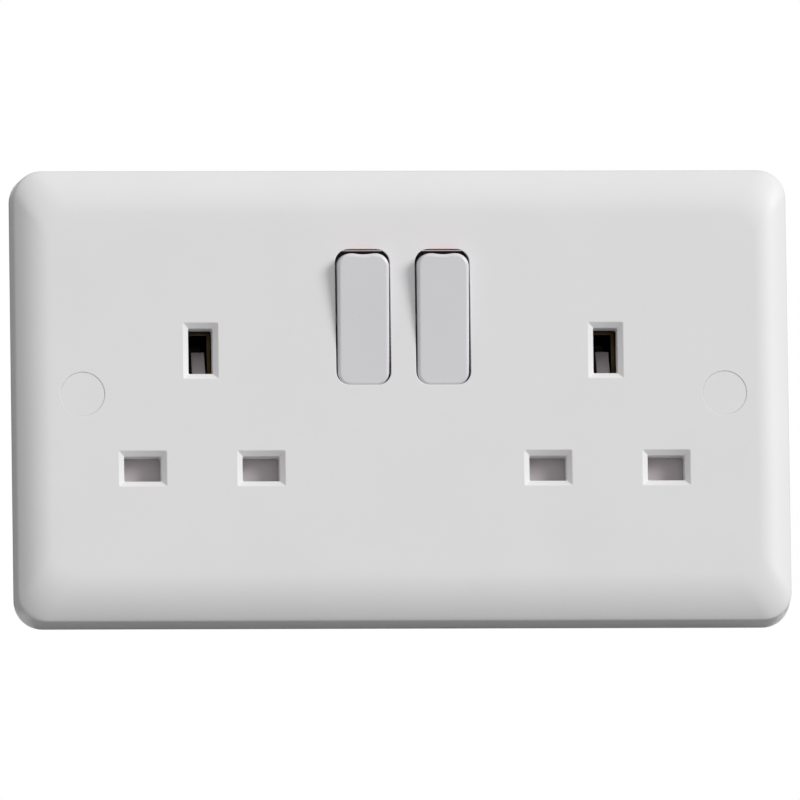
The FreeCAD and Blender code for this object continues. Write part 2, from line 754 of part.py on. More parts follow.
def live_contact(side, sign):
    """The switched live contact: tip pad over the switch, a run across, a drop and a pin grip."""
    pin = dict((name, centre) for name, centre, wide, tall in pins(sign))["Live"]
    near = f"({rocker_side(sign)} - {sign} * run_wide / 2)"
    far = f"({pin[0]} + {sign} * run_wide / 2)"
    inner = f"({pin[0]} - {sign} * run_wide / 2)"
    low = f"({RUN_TOP} - run_wide)"
    drop = "(pin_line + grip_gap / 2 - strip_thick)"
    points = [(near, RUN_TOP), (far, RUN_TOP), (far, drop), (inner, drop), (inner, low), (near, low)]
    run = profile(side + "LiveRun", "Y", points, STRIP)
    item = fuse(side + "LiveContact", run, pin_grip(side + "LiveGrip", pin))
    item.Label = "live_contact_" + side


def neutral_bar():
    """One brass bar with both neutral pin grips and a tail to its terminal."""
    pieces = []
    ends = []
    for side, sign in SIDES.items():
        pin = dict((name, centre) for name, centre, wide, tall in pins(sign))["Neutral"]
        ends.append(pin[0])
        pieces.append(pin_grip(side + "NeutralGrip", pin))
        rise = ("bar_top - strip_thick", "pin_line - grip_gap / 2 + strip_thick")
        pieces.append(box(side + "NeutralTab", around(pin[0], "grip_wide"), STRIP, rise))
    span = (f"{ends[0]} - grip_wide / 2", f"{ends[1]} + grip_wide / 2")
    pieces.append(box("NeutralRun", span, STRIP, ("bar_bottom", "bar_top")))
    tail = around("-neutral_terminal_side", "terminal_wide")
    pieces.append(box("NeutralTail", tail, STRIP, ("terminal_bottom", "bar_top - strip_thick")))
    fuse("NeutralBar", *pieces).Label = "neutral_bar"


def live_bus():
    """The strip from the live terminal to the two knife edges that carry the see-saw contacts."""
    riser = around("bus_side", "bus_wide")
    pieces = [
        box("BusTail", around("bus_side", "terminal_wide"), STRIP, ("terminal_bottom", "terminal_top")),
        box("BusRiser", riser, STRIP, ("terminal_top - strip_thick", "bus_top")),
        box("BusRun", ("-rocker_pitch / 2 - fulcrum_wide / 2", riser[1]), STRIP, ("bus_bottom", "bus_top")),
    ]
    crown = "(strip_thick / 2)"
    for side, sign in SIDES.items():
        x = around(rocker_side(sign), "fulcrum_wide")
        top = f"rocker_height + {crown}"
        ridge = f"({FULCRUM} + fulcrum_gap + {crown})"
        pieces.append(box(side + "Upright", x, STRIP, ("bus_top - strip_thick", top)))
        pieces.append(box(side + "Knife", x, (ridge, STRIP[1]), around("rocker_height", "strip_thick")))
        pieces.append(rod(side + "KnifeCrown", "X", crown, x, (ridge, "rocker_height")))
    fuse("LiveBus", *pieces).Label = "live_bus"


def earth_strap():
    """A spine behind the switches with a channel grip for each earth pin, and a tongue to the terminals."""
    half, outer = "(earth_grip_gap / 2)", "(earth_grip_gap / 2 + strip_thick)"
    roof = "(earth_tall / 2 + strip_thick)"
    pieces = []
    for side, sign in SIDES.items():
        middle = socket_side(sign)
        low = f"({EARTH_LINE} - earth_tall / 2)"
        points = [
            (f"{middle} - {outer}", low), (f"{middle} - {outer}", f"{EARTH_LINE} + {roof}"),
            (f"{middle} + {outer}", f"{EARTH_LINE} + {roof}"), (f"{middle} + {outer}", low),
            (f"{middle} + {half}", low), (f"{middle} + {half}", f"{EARTH_LINE} + earth_tall / 2"),
            (f"{middle} - {half}", f"{EARTH_LINE} + earth_tall / 2"), (f"{middle} - {half}", low),
        ]
        pieces.append(profile(side + "EarthGrip", "Y", points, ("grip_front", FLOOR)))
    span = around("0", f"{SOCKET_PITCH} + 2 * {outer}")
    spine = ("earth_spine_bottom - strip_thick", "earth_spine_top")
    pieces.append(box("EarthSpine", span, EARTH_PLANE, spine))
    tongue = ("terminal_top - strip_thick", "earth_spine_bottom")
    pieces.append(box("EarthTongue", around("0", "earth_tongue"), EARTH_PLANE, tongue))
    foot = around("0", "2 * earth_terminal_side + terminal_wide")
    pieces.append(box("EarthFoot", foot, EARTH_PLANE, ("terminal_bottom", "terminal_top")))
    holes = []
    for name, x in terminals():
        if name.startswith("earth"):
            place = (x, TERMINAL_MIDDLE)
            holes.append(rod(name + "StrapHole", "Y", "clamp_radius", EARTH_PLANE, place))
    cut("EarthStrap", fuse("EarthForm", *pieces), *holes).Label = "earth_strap"


def terminal(name, x):
    """A brass block with a wire tunnel up through it and a tapped hole for its clamp screw."""
    back = EARTH_PLANE[0] if name.startswith("earth") else FLOOR
    tall = ("terminal_bottom", "terminal_top")
    block = box(name + "Block", around(x, "terminal_wide"), (STRIP[1], back), tall)
    tunnel = rod(name + "Tunnel", "Z", "tunnel_radius", tall, (x, TUNNEL_LINE))
    tapped = rod(name + "Tapped", "Y", "clamp_radius", (TUNNEL_LINE, back), (x, TERMINAL_MIDDLE))
    cut(name + "Built", block, tunnel, tapped).Label = name


def terminal_screws():
    screws = []
    for name, x in terminals():
        screws.append(slotted(
            name + "Screw", (x, TERMINAL_MIDDLE),
            ("clamp_radius", (f"({TUNNEL_LINE} + tunnel_radius)", FLOOR)),
            ("clamp_head", "clamp_head_rise"), ("clamp_slot_wide", "clamp_slot_deep"), head_back=True,
        ))
    group("TerminalScrews", *screws).Label = "terminal_screws"


def shutter(side, sign):
    """An upturned T that blocks both lower slots, with a ramp that the earth pin pushes down."""
    middle = socket_side(sign)
    span = (SHUTTER_FRONT, SHUTTER_BACK)
    tee = []
    for direction in ("-1", "1"):
        wide, stem = f"{middle} + {direction} * shutter_half", f"{middle} + {direction} * shutter_stem"
        column = [
            (wide, SHUTTER_BOTTOM), (wide, SHUTTER_SHOULDER), (stem, SHUTTER_SHOULDER), (stem, "ramp_foot"),
        ]
        tee += column if direction == "1" else column[::-1]
    plate = profile(side + "Tee", "Y", tee, span)
    tail = f"({SHUTTER_FRONT} + ramp_reach)"
    ramp = profile(side + "Ramp", "X", [
        (SHUTTER_FRONT, "ramp_foot"), (tail, "ramp_top"), (f"({tail} + ramp_tail)", "ramp_top"),
        (f"({tail} + ramp_tail)", "ramp_foot + ramp_tail"), (SHUTTER_BACK, "ramp_foot - ramp_tail"),
        (SHUTTER_FRONT, "ramp_foot - ramp_tail"),
    ], around(middle, "ramp_wide"))
    line = f"({SHUTTER_FRONT} + shutter_thick / 2)"
    peg = (f"{SHUTTER_BOTTOM} - peg_rise", f"{SHUTTER_BOTTOM} + peg_rise")
    knob = rod(side + "ShutterPeg", "Z", "peg_radius", peg, (middle, line))
    fuse(side + "Shutter", plate, ramp, knob).Label = "shutter_" + side


def shutter_spring(side, sign):
    wound = coil(
        side + "ReturnCoil", "return_wire", "return_radius", "return_turns", "return_length - return_wire",
    )
    line = f"({SHUTTER_FRONT} + shutter_thick / 2)"
    seat(wound, (socket_side(sign), line, f"{SPRING_FOOT} + return_wire / 2"))
    wound.Label = "shutter_spring_" + side


def contact_cover():
    """The inner plate between the shutters and the contacts, with the shutters' guides and spring seats."""
    form = [box(
        "CoverPlate", around("0", BASE_WIDTH), (COVER_FRONT, COVER_BACK), (BASE_BOTTOM, BASE_TOP),
    )]
    holes = []
    line = f"({SHUTTER_FRONT} + shutter_thick / 2)"
    for side, sign in SIDES.items():
        middle = socket_side(sign)
        for pin, centre, wide, tall in pins(sign):
            holes.append(box(
                side + pin + "CoverHole", around(centre[0], f"{wide} + 2 * cover_hole_gap"),
                (COVER_FRONT, COVER_BACK), around(centre[1], f"{tall} + 2 * cover_hole_gap"),
            ))
        track = ("ramp_foot - ramp_tail - shutter_travel - cover_hole_gap", EARTH_LINE)
        track_wide = around(middle, "ramp_wide + 2 * cover_hole_gap")
        holes.append(box(side + "RampTrack", track_wide, (COVER_FRONT, COVER_BACK), track))
        holes.append(box(
            side + "StemWindow", around(rocker_side(sign), "stem_window_wide"), (COVER_FRONT, COVER_BACK),
            around("rocker_height", "stem_window_tall"),
        ))
        for edge in ("-1", "1"):
            guide = f"({middle} + {edge} * (shutter_half + slide_gap + guide_wall / 2))"
            form.append(box(
                side + "Guide" + edge.strip("-"), around(guide, "guide_wall"),
                (SHUTTER_FRONT, f"{COVER_FRONT} + cover_thick / 2"), ("guide_bottom", "guide_top"),
            ))
        form.append(box(
            side + "SpringSeat", around(middle, "2 * (return_radius + return_wire)"),
            (f"{line} - return_radius - return_wire", f"{COVER_FRONT} + cover_thick / 2"),
            (BASE_BOTTOM, SPRING_FOOT),
        ))
        peg = (f"{SPRING_FOOT} - peg_rise / 2", f"{SPRING_FOOT} + peg_rise")
        form.append(rod(side + "SeatPeg", "Z", "peg_radius", peg, (middle, line)))
    cut("ContactCover", fuse("CoverForm", *form), *holes).Label = "contact_cover"


def rear_base():
    """The moulded tray that holds the contacts, with fixing ears, barriers and terminal wells."""
    whole = (BASE_BOTTOM, BASE_TOP)
    outer = box("BaseBlock", around("0", BASE_WIDTH), (COVER_BACK, BASE_BACK), whole)
    outer = round_edges("BaseForm", outer, [(along_y, "base_corner")])
    hollow = box(
        "BaseHollow", around("0", f"{BASE_WIDTH} - 2 * base_wall"), (COVER_BACK, FLOOR),
        (f"{BASE_BOTTOM} + base_wall", f"{BASE_TOP} - base_wall"),
    )
    tray = cut("BaseTray", outer, hollow)
    inside = f"({BASE_WIDTH} / 2 - base_wall)"
    rest = (STRIP[1], FLOOR)
    deep = (COVER_BACK, FLOOR)
    thin = "barrier_wall"
    gap = "(earth_tongue / 2 + barrier_wall)"
    live_left = f"(-{SOCKET_PITCH} / 2 + pin_spread / 2)"
    live_right = f"({SOCKET_PITCH} / 2 + pin_spread / 2)"
    grip_far = f"({SOCKET_PITCH} / 2 + earth_grip_gap / 2 + strip_thick)"
    run = around(f"{RUN_TOP} - run_wide / 2", thin)
    bar = around("(bar_top + bar_bottom) / 2", thin)
    bus = around("(bus_top + bus_bottom) / 2", thin)
    shelf = around("(pin_line + bus_top) / 2", thin)
    between = (COVER_BACK, f"{FLOOR} - 2 * strip_thick")
    added = [
        box("RunRestLeft", (live_left, "-rocker_pitch / 2"), rest, run),
        box("RunRestRight", ("rocker_pitch / 2", live_right), rest, run),
        box("BarRestLeft", (f"-{inside}", f"-{gap}"), rest, bar),
        box("BarRestRight", (gap, "bus_side - bus_wide"), rest, bar),
        box("BusRest", (gap, "bus_side"), rest, bus),
        box("SwitchBarrier", around("0", thin), between, ("bus_top + barrier_wall", BASE_TOP)),
        box("SideBarrier", (f"-{inside}", f"-{grip_far} - {thin}"), deep, shelf),
    ]
    removed = []
    half = f"(terminal_wide / 2 + {thin} / 2 + slide_gap)"
    for name, x in terminals():
        place = (x, TERMINAL_MIDDLE)
        edges = ("-1", "1")
        if name.startswith("earth"):
            edges = ("-1",) if name.endswith("left") else ("1",)
        for edge in edges:
            wall = f"({x} + {edge} * {half})"
            label = name + "Wall" + edge.strip("-")
            added.append(box(label, around(wall, thin), deep, (BASE_BOTTOM, "terminal_top")))
        removed.append(rod(name + "Access", "Y", "clamp_head + slide_gap", (FLOOR, BASE_BACK), place))
        removed.append(rod(
            name + "WireWay", "Z", "tunnel_radius", (BASE_BOTTOM, "terminal_bottom"), (x, TUNNEL_LINE),
        ))
    earth_well = (BASE_BOTTOM, "terminal_top")
    added.append(box("EarthWall", around("0", thin), (COVER_BACK, EARTH_PLANE[0]), earth_well))
    for side, sign in SIDES.items():
        for row, height in EAR_ROWS.items():
            place = (ear_side(sign), height)
            ear = around(height, "ear_wide")
            depth = (COVER_BACK, f"{COVER_BACK} + ear_thick")
            middle = f"({sign} * ({BASE_WIDTH} - base_wall + ear_reach) / 2)"
            reach = around(middle, "ear_reach + base_wall")
            added.append(box(side + row + "Ear", reach, depth, ear))
            removed.append(rod(side + row + "EarHole", "Y", "ear_screw", depth, place))
    cut("RearBase", fuse("BaseBuilt", tray, *added), *removed).Label = "rear_base"


def housing_screws():
    screws = []
    for side, sign in SIDES.items():
        for row, height in EAR_ROWS.items():
            seat_line = f"({COVER_BACK} + ear_thick)"
            screws.append(slotted(
                side + row + "HousingScrew", (ear_side(sign), height),
                ("ear_screw", (f"({seat_line} - ear_screw_length)", seat_line)),
                ("ear_head", "ear_head_rise"), ("ear_slot_wide", "ear_slot_deep"), head_back=True,
            ))
    group("HousingScrews", *screws).Label = "housing_screws"


def build():
    front_plate()
    fixing_screws()
    fixed_tips()
    neutral_bar()
    live_bus()
    earth_strap()
    terminal_screws()
    contact_cover()
    rear_base()
    housing_screws()
    for name, x in terminals():
        terminal(name, x)
    for side, sign in SIDES.items():
        screw_cap(side, sign)
        rocker(side, sign)
        plunger(side, sign)
        plunger_spring(side, sign)
        seesaw(side, sign)
        live_contact(side, sign)
        shutter(side, sign)
        shutter_spring(side, sign)


def export():
    """Checks every object, then writes each labelled piece to its own file."""
    doc.removeObject("Probe")
    doc.recompute()
    for item in doc.Objects:
        if "Invalid" in item.State or "Error" in item.State:
            raise RuntimeError(f"{item.Name} failed: {item.State}")
    os.makedirs("parts", exist_ok=True)
    for item in doc.Objects:
        if item.Label == item.Name or not hasattr(item, "Shape"):
            continue
        if item.Shape.isNull() or not item.Shape.isValid():
            raise RuntimeError(f"{item.Label} has no valid shape")
        item.Shape.exportStep(f"parts/{item.Label}.step")
        print(item.Label, len(item.Shape.Solids), round(item.Shape.Volume, 2))


build()
export()
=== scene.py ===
# %% [markdown]
# # A white twin socket outlet
#
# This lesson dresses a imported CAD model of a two-gang switched socket. The frame holds every
# piece at its real size and place, in metres: X runs to the right, Y goes into the wall and Z
# is up. The origin lies on the wall plane, midway between the two fixing screws. We keep that
# frame, remodel what the eye sees, and give every piece a finish made of nodes.

# %% Load the frame
import bpy
import bmesh
import math
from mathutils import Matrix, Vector


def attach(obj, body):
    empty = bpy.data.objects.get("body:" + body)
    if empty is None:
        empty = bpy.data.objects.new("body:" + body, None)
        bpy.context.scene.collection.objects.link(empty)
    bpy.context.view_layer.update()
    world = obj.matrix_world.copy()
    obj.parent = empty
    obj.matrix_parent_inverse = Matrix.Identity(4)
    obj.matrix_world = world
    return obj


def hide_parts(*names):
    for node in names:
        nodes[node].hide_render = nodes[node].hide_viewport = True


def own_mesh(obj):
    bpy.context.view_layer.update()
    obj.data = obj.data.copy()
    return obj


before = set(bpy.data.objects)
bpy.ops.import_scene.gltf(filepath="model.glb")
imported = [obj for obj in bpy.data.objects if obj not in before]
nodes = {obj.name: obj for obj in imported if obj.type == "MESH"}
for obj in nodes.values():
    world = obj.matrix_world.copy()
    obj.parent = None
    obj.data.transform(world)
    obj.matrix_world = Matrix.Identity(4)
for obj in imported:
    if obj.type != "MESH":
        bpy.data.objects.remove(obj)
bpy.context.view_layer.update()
print(len(nodes), "CAD nodes loaded")

# %% [markdown]
# ## Sizes
#
# A maker works from a short list of sizes. These are the ones that the visible pieces share,
# in millimetres, and the helper `mm` turns them into Blender's metres. Names say what they
# measure, so a reader can follow each step with a ruler in hand.

# %% Sizes in millimetres
FACE = -11.0
FACE_BACK = -8.4
CREASE = -7.9
PLATE = (146.0, 86.0)
CREASE_SIZE = (145.2, 85.2)
SHOULDER = (6.5, 9.0)  # how far it comes in at the ends, and above and below
SOCKET_X = 38.05
PIN_X = 11.115
PIN_Z = -14.1
EARTH_Z = 8.13
ROCKER_X = 7.5
ROCKER_Z = 14.3
PIVOT_Y = -8.0
SCREW_X = 60.3
EAR = (59.0, 18.0)  # X and Z of the housing screws
SIDES = {"left": -1, "right": 1}


def mm(*values):
    """Millimetres to metres: one number, or a vector of three."""
    if len(values) == 1:
        return values[0] * 0.001
    return Vector(values) * 0.001


print("plate", PLATE, "mm, sockets", 2 * SOCKET_X, "mm apart")

# %% [markdown]
# ## Camera
#
# The photograph was taken from far away with a long lens, a little from the left and from
# below, so the sides hardly taper. The place comes from fitting the corners, the screw caps
# and the pin slots of the real plate. The lens axis isn't shifted.

# %% Camera
CAMERA_AT = mm(-443.25, -5165.5, -732.74)
CAMERA_TURN = (0.14047, 0.0140, -0.08365)
FOCAL_PIXELS = 27915.0
PHOTO_PIXELS = 800.0
SENSOR_WIDTH = 36.0
FAR_CLIP = 60.0


def look_through(place, turn, focal):
    """A camera that looks along Y before it is tipped by turn, which is in radians."""
    data = bpy.data.cameras.new("photo_camera")
    data.sensor_width = SENSOR_WIDTH
    data.lens = focal / PHOTO_PIXELS * SENSOR_WIDTH
    data.clip_end = FAR_CLIP
    camera = bpy.data.objects.new("photo_camera", data)
    bpy.context.scene.collection.objects.link(camera)
    camera.location = place
    camera.rotation_euler = (math.radians(90) + turn[0], turn[1], turn[2])
    bpy.context.scene.camera = camera
    return camera


camera = look_through(CAMERA_AT, CAMERA_TURN, FOCAL_PIXELS)
print("lens", round(camera.data.lens), "mm")

# %% [markdown]
# ## Helpers for node trees
#
# `put` adds one node, fills its inputs in order with numbers or with other nodes' sockets, and
# gives its first output. `calc` does that for a Math node, and `show` joins the last shader to
# the tree's output.

# %% Node helpers


def node_tree(owner):
    """The node tree of a material or world, emptied."""
    owner.use_nodes = True
    owner.node_tree.nodes.clear()
    return owner.node_tree


def put(tree, kind, *inputs, **settings):
    """A node with settings, whose inputs are numbers or sockets. Gives its first output."""
    made = tree.nodes.new(kind)
    for name, value in settings.items():
        setattr(made, name, value)
    for socket, value in zip(made.inputs, inputs):
        if isinstance(value, bpy.types.NodeSocket):
            tree.links.new(value, socket)
        else:
            socket.default_value = value
    return made.outputs[0]


def calc(tree, operation, *inputs):
    """A Math node."""
    return put(tree, "ShaderNodeMath", *inputs, operation=operation)


def show(tree, shader, kind="ShaderNodeOutputMaterial"):
    """Joins a shader to the surface of the tree's output."""
    tree.links.new(shader, tree.nodes.new(kind).inputs["Surface"])


print("node helpers ready")

# %% [markdown]
# ## Light and floor
#
# A soft key light stands on the right, a little above, and the white room fills the rest. A sun
# lamp with a wide angle gives the same soft edge to every shadow. The room is white to the
# camera and plain grey to the object, so the pale plastic keeps its shade. A grey floor, which
# the camera sees as white, keeps the light low underneath. A grey card on the wall plane, which
# the camera doesn't see at all, darkens the plate's sides towards the wall, as in the photo. Its
# hole is a hair smaller than the plate, so the rest of the socket passes through it.

# %% Light and floor
KEY_FROM = Vector((0.71, -0.59, 0.37))
KEY_STRENGTH = 2.08
KEY_SPREAD = math.radians(26)
ROOM_STRENGTH = 0.6
FLOOR_Z = -1.6
FLOOR_GREY = 0.4
WALL_GREY = 0.33
WALL_HOLE = (145.8, 85.8)
HOLE_CORNER = 5.4
SHEET_SIZE = 40.0
CARD_Y = 0.05
WHITE = (1, 1, 1, 1)


def seen_as_white(tree):
    """A mask that is 1 for the camera, glossy and transmission rays, which see white."""
    path = tree.nodes.new("ShaderNodeLightPath").outputs
    seen = calc(tree, "MAXIMUM", path["Is Camera Ray"], path["Is Glossy Ray"])
    return calc(tree, "MAXIMUM", seen, path["Is Transmission Ray"])


def make_room():
    """A world that the camera sees as white, and that lights the object as grey."""
    world = bpy.data.worlds.new("white_room")
    bpy.context.scene.world = world
    tree = node_tree(world)
    white = put(tree, "ShaderNodeBackground", WHITE)
    grey = put(tree, "ShaderNodeBackground", WHITE, ROOM_STRENGTH)
    room = put(tree, "ShaderNodeMixShader", seen_as_white(tree), grey, white)
    show(tree, room, "ShaderNodeOutputWorld")


def make_key():
    """The soft key light."""
    data = bpy.data.lights.new("key_light", "SUN")
    data.energy = KEY_STRENGTH
    data.angle = KEY_SPREAD
    key = bpy.data.objects.new("key_light", data)
    key.rotation_euler = KEY_FROM.to_track_quat("Z", "Y").to_euler()
    bpy.context.scene.collection.objects.link(key)


def grey_paper(name, grey, white_to_camera):
    """Matt grey paper that is clear from behind, and that the camera may see as white."""
    material = bpy.data.materials.new(name)
    tree = node_tree(material)
    paper = put(tree, "ShaderNodeBsdfDiffuse", (grey, grey, grey, 1))
    white = put(tree, "ShaderNodeEmission")
    mask = seen_as_white(tree) if white_to_camera else 0.0
    front = put(tree, "ShaderNodeMixShader", mask, paper, white)
    clear = put(tree, "ShaderNodeBsdfTransparent")
    behind = tree.nodes.new("ShaderNodeNewGeometry").outputs["Backfacing"]
    show(tree, put(tree, "ShaderNodeMixShader", behind, front, clear))
    return material


def sheet(name, place, turn, grey, white_to_camera):
    """A large sheet of paper, which is part of the studio and not of the object."""
    bpy.ops.object.select_all(action="DESELECT")
    bpy.ops.mesh.primitive_plane_add(size=SHEET_SIZE, location=place, rotation=turn)
    paper = bpy.context.object
    paper.name = name
    paper.data.materials.append(grey_paper(name + "_paper", grey, white_to_camera))
    paper.visible_camera = white_to_camera
    return paper


def cut_hole(paper, size):
    """Insets a sheet's only face to the size of the hole, rounds it and takes it out."""
    bpy.context.view_layer.objects.active = paper
    bpy.ops.object.mode_set(mode="EDIT")
    bpy.ops.mesh.select_all(action="SELECT")
    bpy.ops.mesh.inset(thickness=SHEET_SIZE / 2 - mm(size[0]) / 2)
    narrow = size[1] / size[0]
    bpy.ops.transform.resize(value=(1, narrow, narrow))
    bpy.ops.mesh.bevel(offset=mm(HOLE_CORNER), segments=6, affect="VERTICES")
    bpy.ops.mesh.delete(type="FACE")
    bpy.ops.object.mode_set(mode="OBJECT")


bpy.context.scene.view_settings.view_transform = "Standard"
make_room()
make_key()
sheet("floor", (0, 0, FLOOR_Z), (0, 0, 0), FLOOR_GREY, True)
card = sheet("wall_card", (0, mm(CARD_Y), 0), (math.radians(90), 0, 0), WALL_GREY, False)
cut_hole(card, WALL_HOLE)
print("key light from", tuple(round(v, 2) for v in KEY_FROM.normalized()))

# %% [markdown]
# ## Node groups for the finishes
#
# Two effects appear in nearly every material here. Moulded plastic has a faint flow of lighter
# and darker resin, a fine orange-peel skin and slightly uneven gloss. Rolled or plated metal has
# fine lines along one way and cloudy tarnish. Each effect is one node group that puts out only
# what varies over the surface: a mask, a roughness and a height.

# %% Node groups


def new_group(name, inputs, outputs):
    """An empty shader group with float inputs (name: default) and named outputs."""
    tree = bpy.data.node_groups.new(name, "ShaderNodeTree")
    for socket, value in inputs.items():
        made = tree.interface.new_socket(socket, in_out="INPUT", socket_type="NodeSocketFloat")
        made.default_value = value
    for socket in outputs:
        tree.interface.new_socket(socket, in_out="OUTPUT", socket_type="NodeSocketFloat")
    return tree, tree.nodes.new("NodeGroupInput"), tree.nodes.new("NodeGroupOutput")


def noise(tree, vector, scale, detail, factor=1.0):
    """A noise texture whose scale is a group input times a factor."""
    made = tree.nodes.new("ShaderNodeTexNoise")
    made.inputs["Detail"].default_value = detail
    tree.links.new(vector, made.inputs["Vector"])
    tree.links.new(calc(tree, "MULTIPLY", scale, factor), made.inputs["Scale"])
    return made.outputs["Fac"]


def blend_between(tree, mask, low, high):
    """Low where the mask is 0 and high where it is 1."""
    made = tree.nodes.new("ShaderNodeMapRange")
    tree.links.new(mask, made.inputs["Value"])
    tree.links.new(low, made.inputs["To Min"])
    tree.links.new(high, made.inputs["To Max"])
    return made.outputs["Result"]


def moulded_group():
    """The skin of moulded plastic: a flow of shades, smudged gloss and orange peel."""
    tree, given, out = new_group(
        "moulded_skin",
        {"Scale": 60.0, "Rough Low": 0.2, "Rough High": 0.3},
        ("Flow", "Roughness", "Height"),
    )
    place = tree.nodes.new("ShaderNodeTexCoord").outputs["Object"]
    flow = noise(tree, place, given.outputs["Scale"], detail=3.0)
    smudge = noise(tree, place, given.outputs["Scale"], detail=5.0, factor=4.0)
    peel = noise(tree, place, given.outputs["Scale"], detail=2.0, factor=30.0)
    rough = blend_between(tree, smudge, given.outputs["Rough Low"], given.outputs["Rough High"])
    tree.links.new(flow, out.inputs["Flow"])
    tree.links.new(rough, out.inputs["Roughness"])
    tree.links.new(peel, out.inputs["Height"])
    return tree


def metal_group():
    """The skin of rolled or plated metal: clouds of tarnish and fine lines along one way."""
    tree, given, out = new_group(
        "rolled_metal",
        {"Scale": 200.0, "Stretch": 12.0, "Rough Low": 0.2, "Rough High": 0.4},
        ("Tarnish", "Roughness", "Height"),
    )
    place = tree.nodes.new("ShaderNodeTexCoord").outputs["Object"]
    stretch = put(tree, "ShaderNodeCombineXYZ", 1.0, 1.0, given.outputs["Stretch"])
    lines_at = put(tree, "ShaderNodeVectorMath", place, stretch, operation="MULTIPLY")
    lines = noise(tree, lines_at, given.outputs["Scale"], detail=4.0)
    cloud = noise(tree, place, given.outputs["Scale"], detail=4.0, factor=0.6)
    rough = blend_between(tree, lines, given.outputs["Rough Low"], given.outputs["Rough High"])
    tree.links.new(cloud, out.inputs["Tarnish"])
    tree.links.new(rough, out.inputs["Roughness"])
    tree.links.new(lines, out.inputs["Height"])
    return tree


MOULDED = moulded_group()
METAL = metal_group()
print("node groups:", MOULDED.name, METAL.name)

# %% [markdown]
# ## Materials
#
# Each finish places one of the groups with its own values and joins it to a Principled shader.
# A colour ramp turns the group's mask into two close shades, so no surface is one flat colour.
# Values that are the same all over, such as how metallic the surface is, sit on the shader.

# %% Materials
RAMP_ENDS = (0.35, 0.65)


def finish_with(name, group, values, shades, height, bump=0.2, **plain):
    """A material from a group: values for its inputs, two shades, and plain shader values.

    The height of the relief is in metres, and bump is its strength.
    """
    material = bpy.data.materials.new(name)
    tree = node_tree(material)
    skin = tree.nodes.new("ShaderNodeGroup")
    skin.node_tree = group
    for socket, value in values.items():
        skin.inputs[socket].default_value = value
    ramp = tree.nodes.new("ShaderNodeValToRGB")
    for stop, position, shade in zip(ramp.color_ramp.elements, RAMP_ENDS, shades):
        stop.position = position
        stop.color = (*shade, 1)
    tree.links.new(skin.outputs[0], ramp.inputs["Fac"])
    relief = tree.nodes.new("ShaderNodeBump")
    relief.inputs["Strength"].default_value = bump
    relief.inputs["Distance"].default_value = height
    tree.links.new(skin.outputs["Height"], relief.inputs["Height"])
    shader = tree.nodes.new("ShaderNodeBsdfPrincipled")
    for socket, value in plain.items():
        shader.inputs[socket.replace("_", " ")].default_value = value
    tree.links.new(ramp.outputs["Color"], shader.inputs["Base Color"])
    tree.links.new(skin.outputs["Roughness"], shader.inputs["Roughness"])
    tree.links.new(relief.outputs["Normal"], shader.inputs["Normal"])
    show(tree, shader.outputs[0])
    return material


def even(level, spread, tint=(0.0, 0.0, 0.0)):
    """Two close shades of a grey, with a slight tint."""
    low = tuple(level - spread + part for part in tint)
    high = tuple(level + spread + part for part in tint)
    return low, high


PLATE_UREA = finish_with(
    "plate_urea", MOULDED, {"Scale": 55.0, "Rough Low": 0.36, "Rough High": 0.46},
    even(0.795, 0.006, (0.004, -0.005, 0.003)), 0.00002, bump=0.15, Specular_IOR_Level=0.3,
)
CAP_UREA = finish_with(
    "cap_urea", MOULDED, {"Scale": 90.0, "Rough Low": 0.28, "Rough High": 0.38},
    even(0.795, 0.006, (0.003, -0.004, 0.002)), 0.00002, bump=0.15, Specular_IOR_Level=0.3,
)
SHUTTER_GREY = finish_with(
    "shutter_grey", MOULDED, {"Scale": 140.0, "Rough Low": 0.35, "Rough High": 0.5},
    even(0.455, 0.012, (0.022, -0.018, -0.006)), 0.00003,
)
BASE_RESIN = finish_with(
    "base_resin", MOULDED, {"Scale": 80.0, "Rough Low": 0.4, "Rough High": 0.55},
    ((0.056, 0.044, 0.040), (0.068, 0.054, 0.049)), 0.00005, bump=0.3,
)
NYLON = finish_with(
    "natural_nylon", MOULDED, {"Scale": 200.0, "Rough Low": 0.35, "Rough High": 0.45},
    even(0.7, 0.02, (0.0, -0.01, -0.05)), 0.00002,
)
BRASS = finish_with(
    "rolled_brass", METAL, {"Scale": 160.0, "Rough Low": 0.22, "Rough High": 0.38},
    ((0.60, 0.38, 0.13), (0.72, 0.50, 0.20)), 0.00001, Metallic=1.0,
)
# Painted shade: the earth strip's brass is made very dark, to stand in for the shade deep inside
# the earth slot.
SLOT_SHADE_BRASS = finish_with(
    "tarnished_brass", METAL, {"Scale": 160.0, "Rough Low": 0.42, "Rough High": 0.55},
    ((0.09, 0.062, 0.03), (0.14, 0.10, 0.05)), 0.00001, Metallic=1.0,
)
ZINC_STEEL = finish_with(
    "zinc_plated_steel", METAL, {"Scale": 220.0, "Rough Low": 0.25, "Rough High": 0.4},
    ((0.50, 0.49, 0.45), (0.62, 0.61, 0.58)), 0.00001, Metallic=1.0,
)
SPRING_WIRE = finish_with(
    "drawn_wire", METAL, {"Scale": 300.0, "Rough Low": 0.25, "Rough High": 0.35},
    ((0.42, 0.42, 0.43), (0.55, 0.55, 0.56)), 0.00001, Metallic=1.0,
)
SILVER = finish_with(
    "contact_silver", METAL, {"Scale": 260.0, "Rough Low": 0.18, "Rough High": 0.3},
    ((0.72, 0.70, 0.66), (0.86, 0.85, 0.82)), 0.00001, Metallic=1.0,
)
print(len(bpy.data.materials), "materials, with the studio's")
